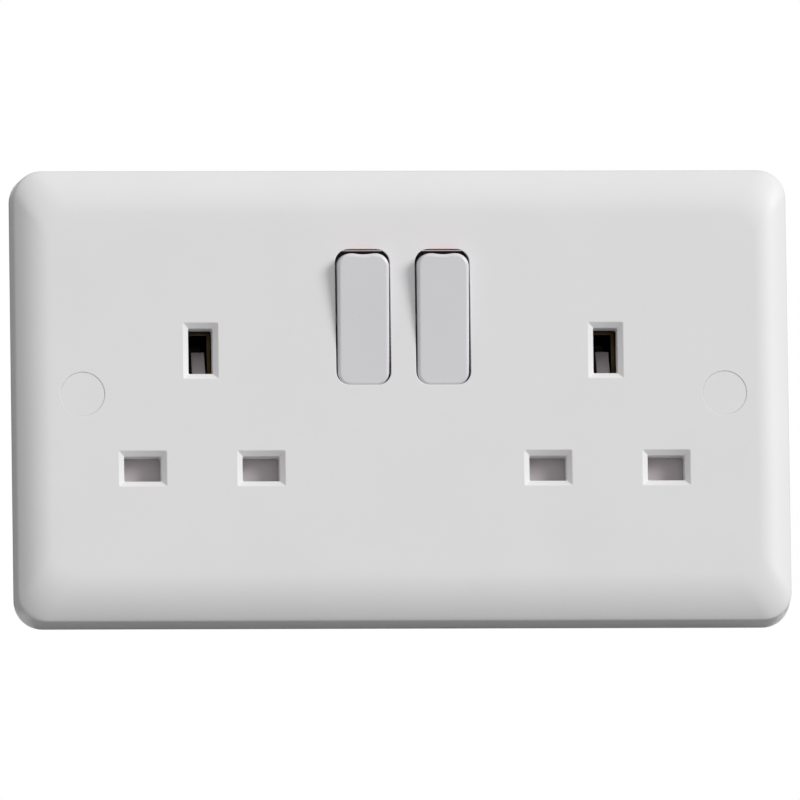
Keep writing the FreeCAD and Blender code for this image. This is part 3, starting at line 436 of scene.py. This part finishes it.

# %% [markdown]
# ### The rockers' finish
#
# A rocker is the same urea as the plate. Its finish is a touch greyer, as painted shade that
# darkens the rocker's face. On its upper end, which shows only when the switch is on, there is
# a red marker. We paint it with nodes: the place is turned back by the rocker's tilt, and a
# point is red where it lies high enough, behind the rounded front edge, and between two lines
# across the end.

# %% Rocker finish
TILT = 7.0
MARK_HEIGHT = 12.1
MARK_FRONT = -3.3
MARK_HALF = 2.6
MARK_RED = (0.55, 0.02, 0.015, 1.0)


def shade_greyed_rocker_urea(side, sign):
    """The finish of one rocker, greyed as painted shade, with the marker at its own place."""
    # Painted shade: the grey of 0.70 is below the plate's 0.795, though both are the same urea.
    material = finish_with(
        f"rocker_urea_{side}", MOULDED, {"Scale": 70.0, "Rough Low": 0.2, "Rough High": 0.3},
        even(0.70, 0.006, (0.003, -0.006, 0.014)), 0.00002, bump=0.15,
    )
    tree = material.node_tree
    shader = next(n for n in tree.nodes if n.type == "BSDF_PRINCIPLED")
    ramp = next(n for n in tree.nodes if n.type == "VALTORGB")
    place = tree.nodes.new("ShaderNodeTexCoord").outputs["Object"]
    apart = tree.nodes.new("ShaderNodeSeparateXYZ")
    tree.links.new(place, apart.inputs[0])
    across = calc(tree, "SUBTRACT", apart.outputs["X"], mm(sign * ROCKER_X))
    deep = calc(tree, "SUBTRACT", apart.outputs["Y"], mm(PIVOT_Y))
    tall = calc(tree, "SUBTRACT", apart.outputs["Z"], mm(ROCKER_Z))
    lean, upright = math.sin(math.radians(TILT)), math.cos(math.radians(TILT))
    own_y = calc(tree, "MULTIPLY_ADD", tall, lean, calc(tree, "MULTIPLY", deep, upright))
    own_z = calc(tree, "MULTIPLY_ADD", deep, -lean, calc(tree, "MULTIPLY", tall, upright))
    high = calc(tree, "GREATER_THAN", own_z, mm(MARK_HEIGHT))
    behind = calc(tree, "GREATER_THAN", own_y, mm(MARK_FRONT))
    middle = calc(tree, "LESS_THAN", calc(tree, "ABSOLUTE", across), mm(MARK_HALF))
    mask = calc(tree, "MULTIPLY", calc(tree, "MULTIPLY", high, behind), middle)
    paint = tree.nodes.new("ShaderNodeMix")
    paint.data_type = "RGBA"
    colour_in = [s for s in paint.inputs if s.type == "RGBA"]
    colour_in[1].default_value = MARK_RED
    tree.links.new(mask, paint.inputs["Factor"])
    tree.links.new(ramp.outputs["Color"], colour_in[0])
    colour_out = next(s for s in paint.outputs if s.type == "RGBA")
    tree.links.new(colour_out, shader.inputs["Base Color"])
    return material


SHADE_GREYED_ROCKER_UREA = {side: shade_greyed_rocker_urea(side, sign) for side, sign in SIDES.items()}
print("rocker finishes:", *(m.name for m in SHADE_GREYED_ROCKER_UREA.values()))

# %% [markdown]
# ## Tools of the bench
#
# Small helpers keep the steps short. `block` and `drum` add a primitive at its size and place.
# `pick` selects faces or edges in edit mode by a test. `carve` cuts, joins or intersects with a
# second mesh, through a Boolean modifier that is then applied. `ease` breaks the sharp edges.
# `seat` gives a finished piece its name, finish and body, and hides the CAD nodes that it
# stands for.

# %% Helpers for modelling
NEAR = 1e-6  # metres
FACING = 0.99  # the least that a normal points along an axis
WELD = 0.002


def alone(obj):
    """Selects one object and makes it active."""
    bpy.ops.object.select_all(action="DESELECT")
    obj.select_set(True)
    bpy.context.view_layer.objects.active = obj
    return obj


def settle():
    """Moves the active object's place and size into its mesh."""
    bpy.ops.object.transform_apply(location=True, rotation=True, scale=True)
    return bpy.context.object


def block(x, y, z):
    """A box between two values on each axis, in millimetres."""
    bpy.ops.object.select_all(action="DESELECT")
    middle = mm(sum(x) / 2, sum(y) / 2, sum(z) / 2)
    size = mm(x[1] - x[0], y[1] - y[0], z[1] - z[0])
    bpy.ops.mesh.primitive_cube_add(size=1, location=middle, scale=size)
    return settle()


TURN = {"X": (0, math.radians(90), 0), "Y": (math.radians(90), 0, 0)}


def drum(axis, radius, span, across, sides=48):
    """A cylinder along X or Y, in millimetres. Across is its place on the other two axes."""
    bpy.ops.object.select_all(action="DESELECT")
    middle = list(across)
    middle.insert("XYZ".index(axis), sum(span) / 2)
    bpy.ops.mesh.primitive_cylinder_add(
        vertices=sides, radius=mm(radius), depth=mm(span[1] - span[0]),
        location=mm(*middle), rotation=TURN[axis],
    )
    return settle()


def pick(obj, test, kind="faces"):
    """In edit mode, selects just the faces or edges that pass a test."""
    if obj.mode != "EDIT":
        alone(obj)
        bpy.ops.object.mode_set(mode="EDIT")
    bpy.ops.mesh.select_mode(type="FACE" if kind == "faces" else "EDGE")
    bpy.ops.mesh.select_all(action="DESELECT")
    mesh = bmesh.from_edit_mesh(obj.data)
    chosen = [item for item in getattr(mesh, kind) if test(item)]
    for item in chosen:
        item.select_set(True)
    mesh.select_flush_mode()
    bmesh.update_edit_mesh(obj.data)
    return len(chosen)


def done():
    """Leaves edit mode."""
    bpy.ops.object.mode_set(mode="OBJECT")


def faces_towards(axis, sign):
    """A test for faces that look along an axis."""
    index = "XYZ".index(axis)
    return lambda face: face.normal[index] * sign > FACING


def edges_along(axis):
    """A test for straight edges that run along an axis."""
    others = [i for i in range(3) if i != "XYZ".index(axis)]

    def test(edge):
        run = edge.verts[1].co - edge.verts[0].co
        return all(abs(run[i]) < NEAR for i in others)
    return test


def round_along(obj, axis, radius, segments=8):
    """Rounds the edges that run along an axis."""
    pick(obj, edges_along(axis), "edges")
    bpy.ops.mesh.bevel(offset=mm(radius), segments=segments)
    done()
    return obj


def grow(factor_x, factor_z, centre=(0, 0)):
    """Resizes what is selected in edit mode along X and Z, about a centre on those axes."""
    bpy.ops.transform.resize(
        value=(factor_x, 1, factor_z), center_override=mm(centre[0], 0, centre[1]),
    )


def draw_out(move):
    """Extrudes the selected faces along Y by a move in millimetres."""
    bpy.ops.mesh.extrude_region_move(TRANSFORM_OT_translate={"value": mm(0.0, move, 0.0)})


def together(pieces):
    """Joins pieces into one mesh with no Boolean, for use as a tool."""
    bpy.ops.object.select_all(action="DESELECT")
    for piece in pieces:
        piece.select_set(True)
    bpy.context.view_layer.objects.active = pieces[0]
    bpy.ops.object.join()
    return bpy.context.object


def carve(obj, tools, operation="DIFFERENCE"):
    """Cuts, unites or intersects a piece with tools, which are used up."""
    tool = together(tools) if len(tools) > 1 else tools[0]
    alone(obj)
    made = obj.modifiers.new("carve", "BOOLEAN")
    made.operation = operation
    made.solver = "EXACT"
    made.use_self = len(tools) > 1
    made.object = tool
    bpy.ops.object.modifier_apply(modifier=made.name)
    bpy.data.objects.remove(tool)
    return obj


def weld(obj):
    """Merges doubles and dissolves edges between flat faces."""
    pick(obj, lambda face: True)
    bpy.ops.mesh.remove_doubles(threshold=mm(WELD))
    bpy.ops.mesh.dissolve_limited(angle_limit=math.radians(0.5))
    done()
    return obj


def ease(obj, width, segments=2, angle=30):
    """Breaks every edge sharper than an angle with a small bevel, and smooths the rest.

    The larger faces keep their own normals, so they still shade as flat.
    """
    alone(obj)
    made = obj.modifiers.new("ease", "BEVEL")
    made.width = mm(width)
    made.segments = segments
    made.limit_method = "ANGLE"
    made.angle_limit = math.radians(angle)
    made.use_clamp_overlap = True
    bpy.ops.object.modifier_apply(modifier=made.name)
    bpy.ops.object.shade_smooth_by_angle(angle=math.radians(angle))
    flat = obj.modifiers.new("flat", "WEIGHTED_NORMAL")
    flat.keep_sharp = True
    bpy.ops.object.modifier_apply(modifier=flat.name)
    return obj


def seat(obj, name, finish, body, slot, *stands_for):
    """Names a finished piece, gives it its finish, and fixes it to a body."""
    obj.name = name
    obj.data.name = name
    obj.data.materials.clear()
    obj.data.materials.append(finish)
    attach(obj, body)
    if stands_for:
        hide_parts(*stands_for)
    return obj


print("bench ready")

# %% [markdown]
# ## The front plate
#
# The plate is a urea moulding: a shallow tray whose front edge rolls over in a soft shoulder and
# ends at a crisp crease, with a thin drafted skirt behind it. We start from a block as large as
# the crease, round its four corners, and draw its front face out in small steps that follow an
# arc. The back face is widened for the draft, inset by the wall and drawn in for the hollow.

# %% Plate form
SHOULDER_STEPS = 12
SHOULDER_DROP = CREASE - FACE
CREASE_CORNER = 5.3
CREASE_SOFT = 0.35
SHARP = 0.3  # radians between two faces
SIDE_WALL = 2.2
HOLLOW = (
    # width, height, step away from the wall
    (141.6, 81.6, 0.0),
    (139.9, 79.9, 5.3),
    (127.2, 67.2, 3.1),
)


def shoulder_inset(drop, inset):
    """How far in an arc has come at a drop below the flat front."""
    radius = (inset ** 2 + SHOULDER_DROP ** 2) / (2 * SHOULDER_DROP)
    return inset - math.sqrt(max(0.0, 2 * radius * drop - drop ** 2))


def plate_form():
    """The tray without its openings: crease, shoulder and front, then skirt and hollow."""
    half_w, half_h = CREASE_SIZE[0] / 2, CREASE_SIZE[1] / 2
    plate = block((-half_w, half_w), (CREASE, 0), (-half_h, half_h))
    round_along(plate, "Y", CREASE_CORNER, segments=12)
    pick(plate, faces_towards("Y", -1))
    width, height, depth = half_w, half_h, CREASE
    for step in range(1, SHOULDER_STEPS + 1):
        turn = 1 - step / SHOULDER_STEPS
        drop = SHOULDER_DROP * turn ** 2
        new_w = half_w - shoulder_inset(drop, SHOULDER[0])
        new_h = half_h - shoulder_inset(drop, SHOULDER[1])
        new_depth = FACE + drop
        draw_out(new_depth - depth)
        grow(new_w / width, new_h / height)
        width, height, depth = new_w, new_h, new_depth
    pick(plate, faces_towards("Y", 1))
    grow(PLATE[0] / CREASE_SIZE[0], PLATE[1] / CREASE_SIZE[1])
    bpy.ops.mesh.inset(thickness=mm(SIDE_WALL))
    for (width, height, _), (new_w, new_h, step) in zip(HOLLOW, HOLLOW[1:]):
        draw_out(-step)
        grow(new_w / width, new_h / height)
    done()
    return plate


def soften_crease(obj, width, segments):
    """Rounds the sharp edges at the crease."""

    def test(edge):
        level = all(abs(vert.co.y - mm(CREASE)) < NEAR for vert in edge.verts)
        return level and edge.calc_face_angle(0) > SHARP

    count = pick(obj, test, "edges")
    bpy.ops.mesh.bevel(offset=mm(width), segments=segments)
    done()
    return count


plate = plate_form()
print("crease edges:", soften_crease(plate, CREASE_SOFT, 4))
print("plate form:", len(plate.data.polygons), "faces")

# %% [markdown]
# ### What the plate carries
#
# Behind the face the moulding has a collar round each pin slot, a boss for each fixing screw, a
# post for each housing screw, ribs that hold the rockers' pivots, two stiffening ribs, and a
# short rib above the rockers that keeps light out. They are added as blocks and cylinders that
# reach into the face, and united with it.

# %% Plate ribs, collars and bosses
PIN_SLOT = (7.0, 4.75)
EARTH_SLOT = (4.6, 8.6)
INSIDE = FACE + 1.3
RIB_BACK = -6.2
COLLAR_WIDER = 2.2
COLLAR_CORNER = 0.5
BOSS_RADIUS = 5.3
POST_RADIUS = 3.3
POST_BACK = -2.2
PIVOT_RIB_X = 13.75
PIVOT_RIB_WIDE = 1.8
MIDDLE_RIB_WIDE = 4.3
PIVOT_RIB_BACK = -5.4
PIVOT_RIB_TALL = 7.2
STIFF_RIB_WIDE = 120.0
STIFF_RIB_THICK = 1.2
STIFF_RIB_Z = 33.0
LIGHT_RIB = ((-14.0, 14.0), (INSIDE, -4.2), (28.0, 29.2))

PINS = []
for socket_sign in SIDES.values():
    middle = socket_sign * SOCKET_X
    PINS.append((middle - PIN_X, PIN_Z, *PIN_SLOT))
    PINS.append((middle + PIN_X, PIN_Z, *PIN_SLOT))
    PINS.append((middle, EARTH_Z, *EARTH_SLOT))


def centred(middle, width):
    """The two ends of a width about its middle."""
    return middle - width / 2, middle + width / 2


def pivot_rib(x, wide):
    """A rib that holds the rockers' pivots."""
    return block(centred(x, wide), (INSIDE, PIVOT_RIB_BACK), centred(ROCKER_Z, PIVOT_RIB_TALL))


def plate_additions():
    """All that stands on the back of the face."""
    added = []
    to_back = (INSIDE, RIB_BACK)
    for x, z, wide, tall in PINS:
        wide, tall = wide + COLLAR_WIDER, tall + COLLAR_WIDER
        collar = block(centred(x, wide), to_back, centred(z, tall))
        added.append(round_along(collar, "Y", COLLAR_CORNER, 3))
    for sign in SIDES.values():
        added.append(drum("Y", BOSS_RADIUS, (INSIDE, 0), (sign * SCREW_X, 0)))
        for row in (-1, 1):
            place = (sign * EAR[0], row * EAR[1])
            added.append(drum("Y", POST_RADIUS, (INSIDE, POST_BACK), place))
        added.append(pivot_rib(sign * PIVOT_RIB_X, PIVOT_RIB_WIDE))
        level = centred(sign * STIFF_RIB_Z, STIFF_RIB_THICK)
        added.append(block(centred(0, STIFF_RIB_WIDE), to_back, level))
    added.append(pivot_rib(0, MIDDLE_RIB_WIDE))
    added.append(block(*LIGHT_RIB))
    return added


carve(plate, plate_additions(), "UNION")
print("plate with ribs:", len(plate.data.polygons), "faces")

# %% [markdown]
# ### What is cut from the plate
#
# Each pin slot opens in a funnel, so that a plug finds its way. The rocker openings have round
# corners and widen towards the back. The screw recesses are as wide as the caps, with a hair of
# clearance, and the pivots lie in open notches. All these tools go through the face in one cut.
# Each tool flares by a small arc just below the face, so the rim that it cuts is rounded.

# %% Plate openings
FUNNEL_RIM = 1.0
FUNNEL_DEEP = 0.9
FUNNEL_CURVE = (0.06, 0.93)  # where it turns out into its rounded rim
FUNNEL_CORNER = 0.2
PAST = 0.3  # how far a tool reaches past what it cuts
LAP = 0.01  # how far one tool reaches into the next
RIM = 0.13
RIM_ARC = ((1, 0), (0.5, 0.134), (0.15, 0.473), (0, 1))  # depth below the face, way out
SLOT_BACK = -5.9
SLOT_CORNER = 0.35
OPENING = (10.3, 25.6)
OPENING_Z = ROCKER_Z + 0.15
OPENING_TALLER = 1.0  # at the back
ROCKER_CORNER = 2.5
CAP_HOLE_RADIUS = 4.1
CAP_HOLE_BACK = -6.0
SCREW_BORE = 2.1
POST_BORE = 1.4
POST_BORE_SPAN = (-7.8, -2.0)
PIVOT_NOTCH = (-15.3, 15.3)
PIVOT_NOTCH_BACK = -5.2
PIVOT_BORE = 1.25
PLATE_SMOOTH = math.radians(12)


def flare(tool, place, size, steps):
    """Draws a tool's front end out to the face, by (depth below it, extra on each side)."""
    pick(tool, faces_towards("Y", -1))
    (depth, extra), rest = steps[0], [*steps[1:], (-PAST, steps[-1][1])]
    for next_depth, next_extra in rest:
        draw_out(next_depth - depth)
        factors = [(full + 2 * next_extra) / (full + 2 * extra) for full in size]
        grow(*factors, place)
        depth, extra = next_depth, next_extra
    done()
    return tool


def rim_steps(radius):
    """The flare that rounds a square rim: four points of an arc."""
    return [(radius * deep, radius * out) for deep, out in RIM_ARC]


def funnel(x, z, wide, tall):
    """A slot's funnel, and a little more in front of the face."""
    floor = FACE + FUNNEL_DEEP
    tool = block(centred(x, wide), (floor, floor + 0.4), centred(z, tall))
    round_along(tool, "Y", FUNNEL_CORNER, 3)
    steps = ((FUNNEL_DEEP, 0), FUNNEL_CURVE, (0, FUNNEL_RIM + 0.05))
    return flare(tool, (x, z), (wide, tall), steps)


def rocker_opening(x):
    """The hole for a rocker, which is taller at the back."""
    wide, tall = OPENING
    tool = block(centred(x, wide), (FACE + RIM, FACE_BACK + PAST), centred(OPENING_Z, tall))
    round_along(tool, "Y", ROCKER_CORNER, 10)
    pick(tool, faces_towards("Y", 1))
    grow(1, (tall + OPENING_TALLER) / tall, (x, OPENING_Z))
    done()
    return flare(tool, (x, OPENING_Z), OPENING, rim_steps(RIM))


def cap_recess(x):
    """The round recess over a fixing screw."""
    tool = drum("Y", CAP_HOLE_RADIUS, (FACE + RIM, CAP_HOLE_BACK), (x, 0), 96)
    return flare(tool, (x, 0), (2 * CAP_HOLE_RADIUS, 2 * CAP_HOLE_RADIUS), rim_steps(RIM))


def plate_cuts():
    """All that is cut from the plate."""
    tools = []
    for x, z, wide, tall in PINS:
        tools.append(funnel(x, z, wide, tall))
        slot = block(centred(x, wide), (FACE + FUNNEL_DEEP - LAP, SLOT_BACK), centred(z, tall))
        tools.append(round_along(slot, "Y", SLOT_CORNER, 3))
    for sign in SIDES.values():
        tools.append(rocker_opening(sign * ROCKER_X))
        tools.append(cap_recess(sign * SCREW_X))
        tools.append(drum("Y", SCREW_BORE, (FACE, PAST), (sign * SCREW_X, 0)))
        for row in (-1, 1):
            place = (sign * EAR[0], row * EAR[1])
            tools.append(drum("Y", POST_BORE, POST_BORE_SPAN, place, 32))
    tools.append(drum("X", PIVOT_BORE, PIVOT_NOTCH, (PIVOT_Y, ROCKER_Z), 40))
    level = centred(ROCKER_Z, 2 * PIVOT_BORE)
    tools.append(block(PIVOT_NOTCH, (PIVOT_Y, PIVOT_NOTCH_BACK), level))
    return tools


carve(plate, plate_cuts())
weld(plate)
alone(plate)
bpy.ops.object.shade_smooth_by_angle(angle=PLATE_SMOOTH)
seat(plate, "plate_moulding", PLATE_UREA, "root", "plate_plastic", "front_plate")
print("plate:", len(plate.data.polygons), "faces")

# %% [markdown]
# ## The screw caps
#
# A round plug hides each fixing screw. It lies a hair below the face, and all that shows is the
# thin line of the gap. A drum is inset and hollowed from behind, and its front rim is eased.

# %% Screw caps
CAP_SUNK = 0.1
CAP_RADIUS = 4.085
CAP_BACK = FACE + 2.6
CAP_WALL = 0.7
CAP_HOLLOW = 1.4
CAP_SOFT = 0.06


def screw_cap(side, sign):
    """One cap, in its recess."""
    cap = drum("Y", CAP_RADIUS, (FACE + CAP_SUNK, CAP_BACK), (sign * SCREW_X, 0), 96)
    pick(cap, faces_towards("Y", 1))
    bpy.ops.mesh.inset(thickness=mm(CAP_WALL))
    draw_out(-CAP_HOLLOW)
    done()
    ease(cap, CAP_SOFT, segments=3)
    seat(cap, f"cap_{side}", CAP_UREA, "root", "plate_plastic", f"screw_cap_{side}")


for side, sign in SIDES.items():
    screw_cap(side, sign)
print("two screw caps")

# %% [markdown]
# ## The rockers
#
# A rocker is a hollow shell that swings on two stub pivots. It is modelled square about its own
# pivot: a block with round corners, a shallow finger scoop at the top, well rounded front edges,
# which clear the opening as it moves, then the hollow. Inside, the ends are arcs about the pivot.
# Last it is tipped by seven degrees, as it stands when it is switched on.

# %% Rockers
ROCKER_HALF = 4.85
ROCKER_REACH = 12.4
RISE = 4.2
FRONT_SOFT = 0.7
DIP_RADIUS = 9.0
DIP_DEEP = 0.18
HOLLOW_HALF = 3.35
HOLLOW_BACK = 1.2
SWEEP = 12.75
END_WALL = 1.5
STEM_FLOOR = -2.7
STEM_RADIUS = 2.9
STEM_SPAN = (-3.4, 7.0)
STEM_BORE = 1.66
STEM_BORE_SPAN = (STEM_FLOOR, 7.2)
PIVOT_RADIUS = 1.2
PIVOT_SPANS = ((-6.45, -3.4), (3.4, 6.45))


def rocker_shell():
    """The solid paddle, square about its pivot."""
    shell = block((-ROCKER_HALF, ROCKER_HALF), (-RISE, 1.0), (-ROCKER_REACH, ROCKER_REACH))
    round_along(shell, "Y", ROCKER_CORNER, 10)
    scoop = ROCKER_REACH + DIP_RADIUS - DIP_DEEP
    carve(shell, [drum("Y", DIP_RADIUS, (-8, 3), (0, scoop), 160)])
    pick(shell, lambda edge: all(abs(v.co.y - mm(-RISE)) < NEAR for v in edge.verts), "edges")
    bpy.ops.mesh.bevel(offset=mm(FRONT_SOFT), segments=5)
    done()
    return shell


def tip_with_rocker(obj, sign):
    """Tips a piece built about the pivot as the rocker stands, and moves it there."""
    alone(obj)
    obj.rotation_euler = (math.radians(TILT), 0, 0)
    obj.location = mm(sign * ROCKER_X, PIVOT_Y, ROCKER_Z)
    return settle()


def rocker(side, sign):
    """One rocker: hollow shell, sprung stem and pivots, in its place."""
    shell = rocker_shell()
    inner = block((-HOLLOW_HALF, HOLLOW_HALF), (STEM_FLOOR, HOLLOW_BACK), (-SWEEP, SWEEP))
    carve(inner, [drum("X", SWEEP - END_WALL, (-8, 8), (0, 0), 96)], "INTERSECT")
    carve(shell, [inner])
    stem = drum("Y", STEM_RADIUS, STEM_SPAN, (0, 0))
    pivots = [drum("X", PIVOT_RADIUS, span, (0, 0), 40) for span in PIVOT_SPANS]
    carve(shell, [stem, *pivots], "UNION")
    carve(shell, [drum("Y", STEM_BORE, STEM_BORE_SPAN, (0, 0), 40)])
    weld(shell)
    ease(shell, 0.1, angle=35)
    tip_with_rocker(shell, sign)
    body = f"rocker_{side}"
    return seat(shell, f"rocker_paddle_{side}", SHADE_GREYED_ROCKER_UREA[side], body, "rocker_plastic", body)


for side, sign in SIDES.items():
    made = rocker(side, sign)
    print(made.name, len(made.data.polygons), "faces")

# %% [markdown]
# ## Pieces that keep their CAD shape
#
# The mechanism's strips, terminals, shutters and mouldings already have the right shape. Each
# gets a copy whose loose triangles are merged into flat faces, and whose sharp edges are then
# broken by a small bevel, as a press, a saw or a mould leaves them.

# %% Eased copies of CAD nodes


def softened(node, name, width, finish, body, slot):
    """A copy of a CAD node with merged faces and eased edges, in its place."""
    alone(nodes[node])
    bpy.ops.object.duplicate()
    copy = bpy.context.object
    copy.parent = None
    for key in list(copy.keys()):
        del copy[key]
    weld(copy)
    ease(copy, width)
    return seat(copy, name, finish, body, slot, node)


# Each row gives the CAD node, the new name, the width of the bevel, finish, body and slot.
COPIES = [
    ("contact_cover", "cover_moulding", 0.15, BASE_RESIN, "root", "base_plastic"),
    ("rear_base", "base_moulding", 0.25, BASE_RESIN, "root", "base_plastic"),
    ("neutral_bar", "neutral_strip", 0.1, BRASS, "root", "brass"),
    ("live_bus", "live_feed_strip", 0.1, BRASS, "root", "brass"),
    # The earth strip takes the brass darkened as painted shade.
    ("earth_strap", "earth_strip", 0.1, SLOT_SHADE_BRASS, "root", "brass"),
    ("neutral_terminal", "neutral_block", 0.2, BRASS, "root", "brass"),
    ("live_terminal", "live_block", 0.2, BRASS, "root", "brass"),
    ("fixed_tips", "fixed_silver_tips", 0.12, SILVER, "root", "contact_silver"),
]
# Pieces that come as a pair leave out the side, here and in the name of a moving body.
PAIRS = [
    ("earth_terminal", "earth_block", 0.2, BRASS, "root", "brass"),
    ("live_contact", "live_strip", 0.1, BRASS, "root", "brass"),
    ("moving_contact", "see_saw_arm", 0.1, BRASS, "see_saw", "brass"),
    ("moving_tip", "silver_tip", 0.12, SILVER, "see_saw", "contact_silver"),
    ("plunger", "pusher", 0.15, NYLON, "rocker", "nylon"),
    ("shutter", "shutter_slide", 0.12, SHUTTER_GREY, "shutter", "shutter_plastic"),
]
for side in SIDES:
    for node, name, width, finish, body, slot in PAIRS:
        own_body = body if body == "root" else f"{body}_{side}"
        COPIES.append((f"{node}_{side}", f"{name}_{side}", width, finish, own_body, slot))
for row in COPIES:
    softened(*row)
print(len(COPIES), "eased copies")

# %% [markdown]
# ## Screws
#
# A screw is a shape of revolution. Its half outline is drawn point by point from a single
# vertex, with a fine V groove for each turn of the thread, and spun about the screw's axis. A
# thin block then cuts the slot across the head.

# %% Screws
SPIN_STEPS = 28
CREST = 0.12  # the thread's flat crest and its root, in pitches
ROOT = 0.56
TERMINAL_X = (-38.0, -7.5, 7.5, 32.7)
TERMINAL_Z = -25.9


def lathe(points, place):
    """Spins an outline of (radius, y) points, in millimetres, about an axis along Y."""
    x, z = place
    bpy.ops.object.select_all(action="DESELECT")
    bpy.ops.mesh.primitive_plane_add(size=mm(1), location=mm(x, 0, z))
    turned = settle()
    bpy.ops.object.mode_set(mode="EDIT")
    bpy.ops.mesh.select_mode(type="VERT")
    bpy.ops.mesh.merge(type="CENTER")
    start = mm(x + points[0][0], points[0][1], z) - mm(x, 0, z)
    bpy.ops.transform.translate(value=start)
    for (radius, y), (next_radius, next_y) in zip(points, points[1:]):
        step = mm(next_radius - radius, next_y - y, 0)
        bpy.ops.mesh.extrude_vertices_move(TRANSFORM_OT_translate={"value": step})
    bpy.ops.mesh.select_all(action="SELECT")
    bpy.ops.mesh.spin(steps=SPIN_STEPS, angle=math.tau, center=mm(x, 0, z), axis=(0, 1, 0))
    bpy.ops.mesh.select_all(action="SELECT")
    bpy.ops.mesh.remove_doubles(threshold=mm(0.001))
    bpy.ops.mesh.normals_make_consistent(inside=False)
    done()
    return turned


def thread(radius, start, end, pitch=0.6, deep=0.28):
    """The zigzag outline of a thread between two depths."""
    points = []
    turns = int((end - start) / pitch)
    for turn in range(turns):
        base = start + turn * pitch
        points += [(radius, base), (radius, base + CREST * pitch)]
        points.append((radius - deep, base + ROOT * pitch))
    return points + [(radius, start + turns * pitch)]


def slot_across(screw, place, width, depths, reach):
    """Cuts a slot across a head, level with the ground."""
    x, z = place
    return carve(screw, [block(centred(x, 2 * reach), depths, centred(z, width))])


def fixing_screw(sign):
    """An M3.5 pan head screw into the wall box."""
    place = (sign * SCREW_X, 0)
    outline = [(0, -8.2), (2.2, -8.2), (2.9, -7.9), (3.3, -7.2), (3.3, -6.0)]
    outline += [(1.9, -6.0), (1.9, -0.3), *thread(1.75, 0.0, 18.0), (1.2, 19.0), (0, 19.0)]
    return slot_across(lathe(outline, place), place, 1.0, (-8.4, -7.2), 3.6)


def housing_screw(sign, row):
    """A screw through an ear of the housing, threaded towards the plate's face."""
    place = (sign * EAR[0], row * EAR[1])
    outline = [(0, 2.0), (2.0, 2.0), (2.6, 1.5), (2.7, 0.9), (2.7, 0.2), (1.4, 0.2), (1.4, -0.4)]
    grooves = [(radius, -0.4 - y) for radius, y in thread(1.4, 0.0, 6.3, 0.7, 0.3)]
    outline += grooves[1:] + [(0.5, -7.8), (0, -7.8)]
    return slot_across(lathe(outline, place), place, 0.8, (1.2, 2.2), 3.0)


def terminal_screw(x):
    """A screw that clamps a wire in its terminal block."""
    place = (x, TERMINAL_Z)
    outline = [(0, 13.1), (1.2, 13.1), (1.45, 13.35), *thread(1.75, 13.35, 14.3, 0.45, 0.2)]
    outline += [(1.75, 14.5), (2.9, 14.5), (2.9, 15.7), (2.5, 16.2), (0, 16.2)]
    return slot_across(lathe(outline, place), place, 0.9, (15.4, 16.4), 3.2)


def screw_set(screws, name, node):
    """Joins screws into the one piece that stands for their node."""
    joined = together(screws)
    ease(joined, 0.05, segments=1, angle=40)
    seat(joined, name, ZINC_STEEL, "root", "screw_steel", node)


screw_set([fixing_screw(s) for s in SIDES.values()], "fixing_screw_pair", "fixing_screws")
in_ears = [housing_screw(s, row) for s in SIDES.values() for row in (-1, 1)]
screw_set(in_ears, "housing_screw_set", "housing_screws")
screw_set([terminal_screw(x) for x in TERMINAL_X], "terminal_screw_set", "terminal_screws")
print("ten screws")

# %% [markdown]
# ## Springs
#
# A real compression spring is round wire. The CAD winds it from a few turns of square wire to
# stay light. Here a small ring of vertices is wound up a screw line by the Screw modifier, with
# as many turns as such a spring has, and its two ends are closed.

# %% Springs
WIRE = 0.36
RETURN_SPRING = {"radius": 0.95, "turns": 9, "length": 11.24}
RETURN_FOOT = (-5.0, -29.175)  # Y and Z


def spring(radius, turns, length):
    """Round wire wound up along Z from the origin, in millimetres."""
    bpy.ops.object.select_all(action="DESELECT")
    bpy.ops.mesh.primitive_circle_add(
        vertices=10, radius=mm(WIRE / 2), location=mm(radius, 0, WIRE / 2), rotation=TURN["Y"],
    )
    coil = settle()
    made = coil.modifiers.new("wind", "SCREW")
    made.axis = "Z"
    made.angle = math.tau
    made.screw_offset = mm(length / turns)
    made.iterations = turns
    made.steps = made.render_steps = 20
    made.use_merge_vertices = False
    bpy.ops.object.modifier_apply(modifier=made.name)
    bpy.ops.object.mode_set(mode="EDIT")
    bpy.ops.mesh.select_all(action="DESELECT")
    bpy.ops.mesh.select_mode(type="EDGE")
    bpy.ops.mesh.select_non_manifold(extend=False)
    bpy.ops.mesh.edge_face_add()
    bpy.ops.mesh.select_all(action="SELECT")
    bpy.ops.mesh.normals_make_consistent(inside=False)
    done()
    bpy.ops.object.shade_smooth_by_angle(angle=math.radians(50))
    return coil


def return_spring(side, sign):
    """The spring that pushes a shutter shut."""
    foot = mm(sign * SOCKET_X, *RETURN_FOOT)
    coil = spring(**RETURN_SPRING)
    coil.location = foot
    alone(coil)
    settle()
    node = f"shutter_spring_{side}"
    seat(coil, f"return_spring_{side}", SPRING_WIRE, "root", "spring_steel", node)
    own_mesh(coil)


for side, sign in SIDES.items():
    return_spring(side, sign)
print("two return springs")

# %% [markdown]
# ### The springs behind the pushers
#
# These two stand inside the rockers' stems, so they lean with the rocker. They are wound along
# Z, laid over to point into the wall, tipped as the rocker is, and moved to the stem's floor.

# %% Pusher springs
PUSHER_SPRING = {"radius": 1.36, "turns": 6, "length": 5.948}


def pusher_spring(side, sign):
    """The spring in a rocker's stem."""
    coil = alone(spring(**PUSHER_SPRING))
    coil.rotation_euler = (math.radians(-90), 0, 0)
    coil.location = mm(0, STEM_FLOOR, 0)
    settle()
    tip_with_rocker(coil, sign)
    body, node = f"rocker_{side}", f"plunger_spring_{side}"
    seat(coil, f"pusher_spring_{side}", SPRING_WIRE, body, "spring_steel", node)


for side, sign in SIDES.items():
    pusher_spring(side, sign)
print("two pusher springs")
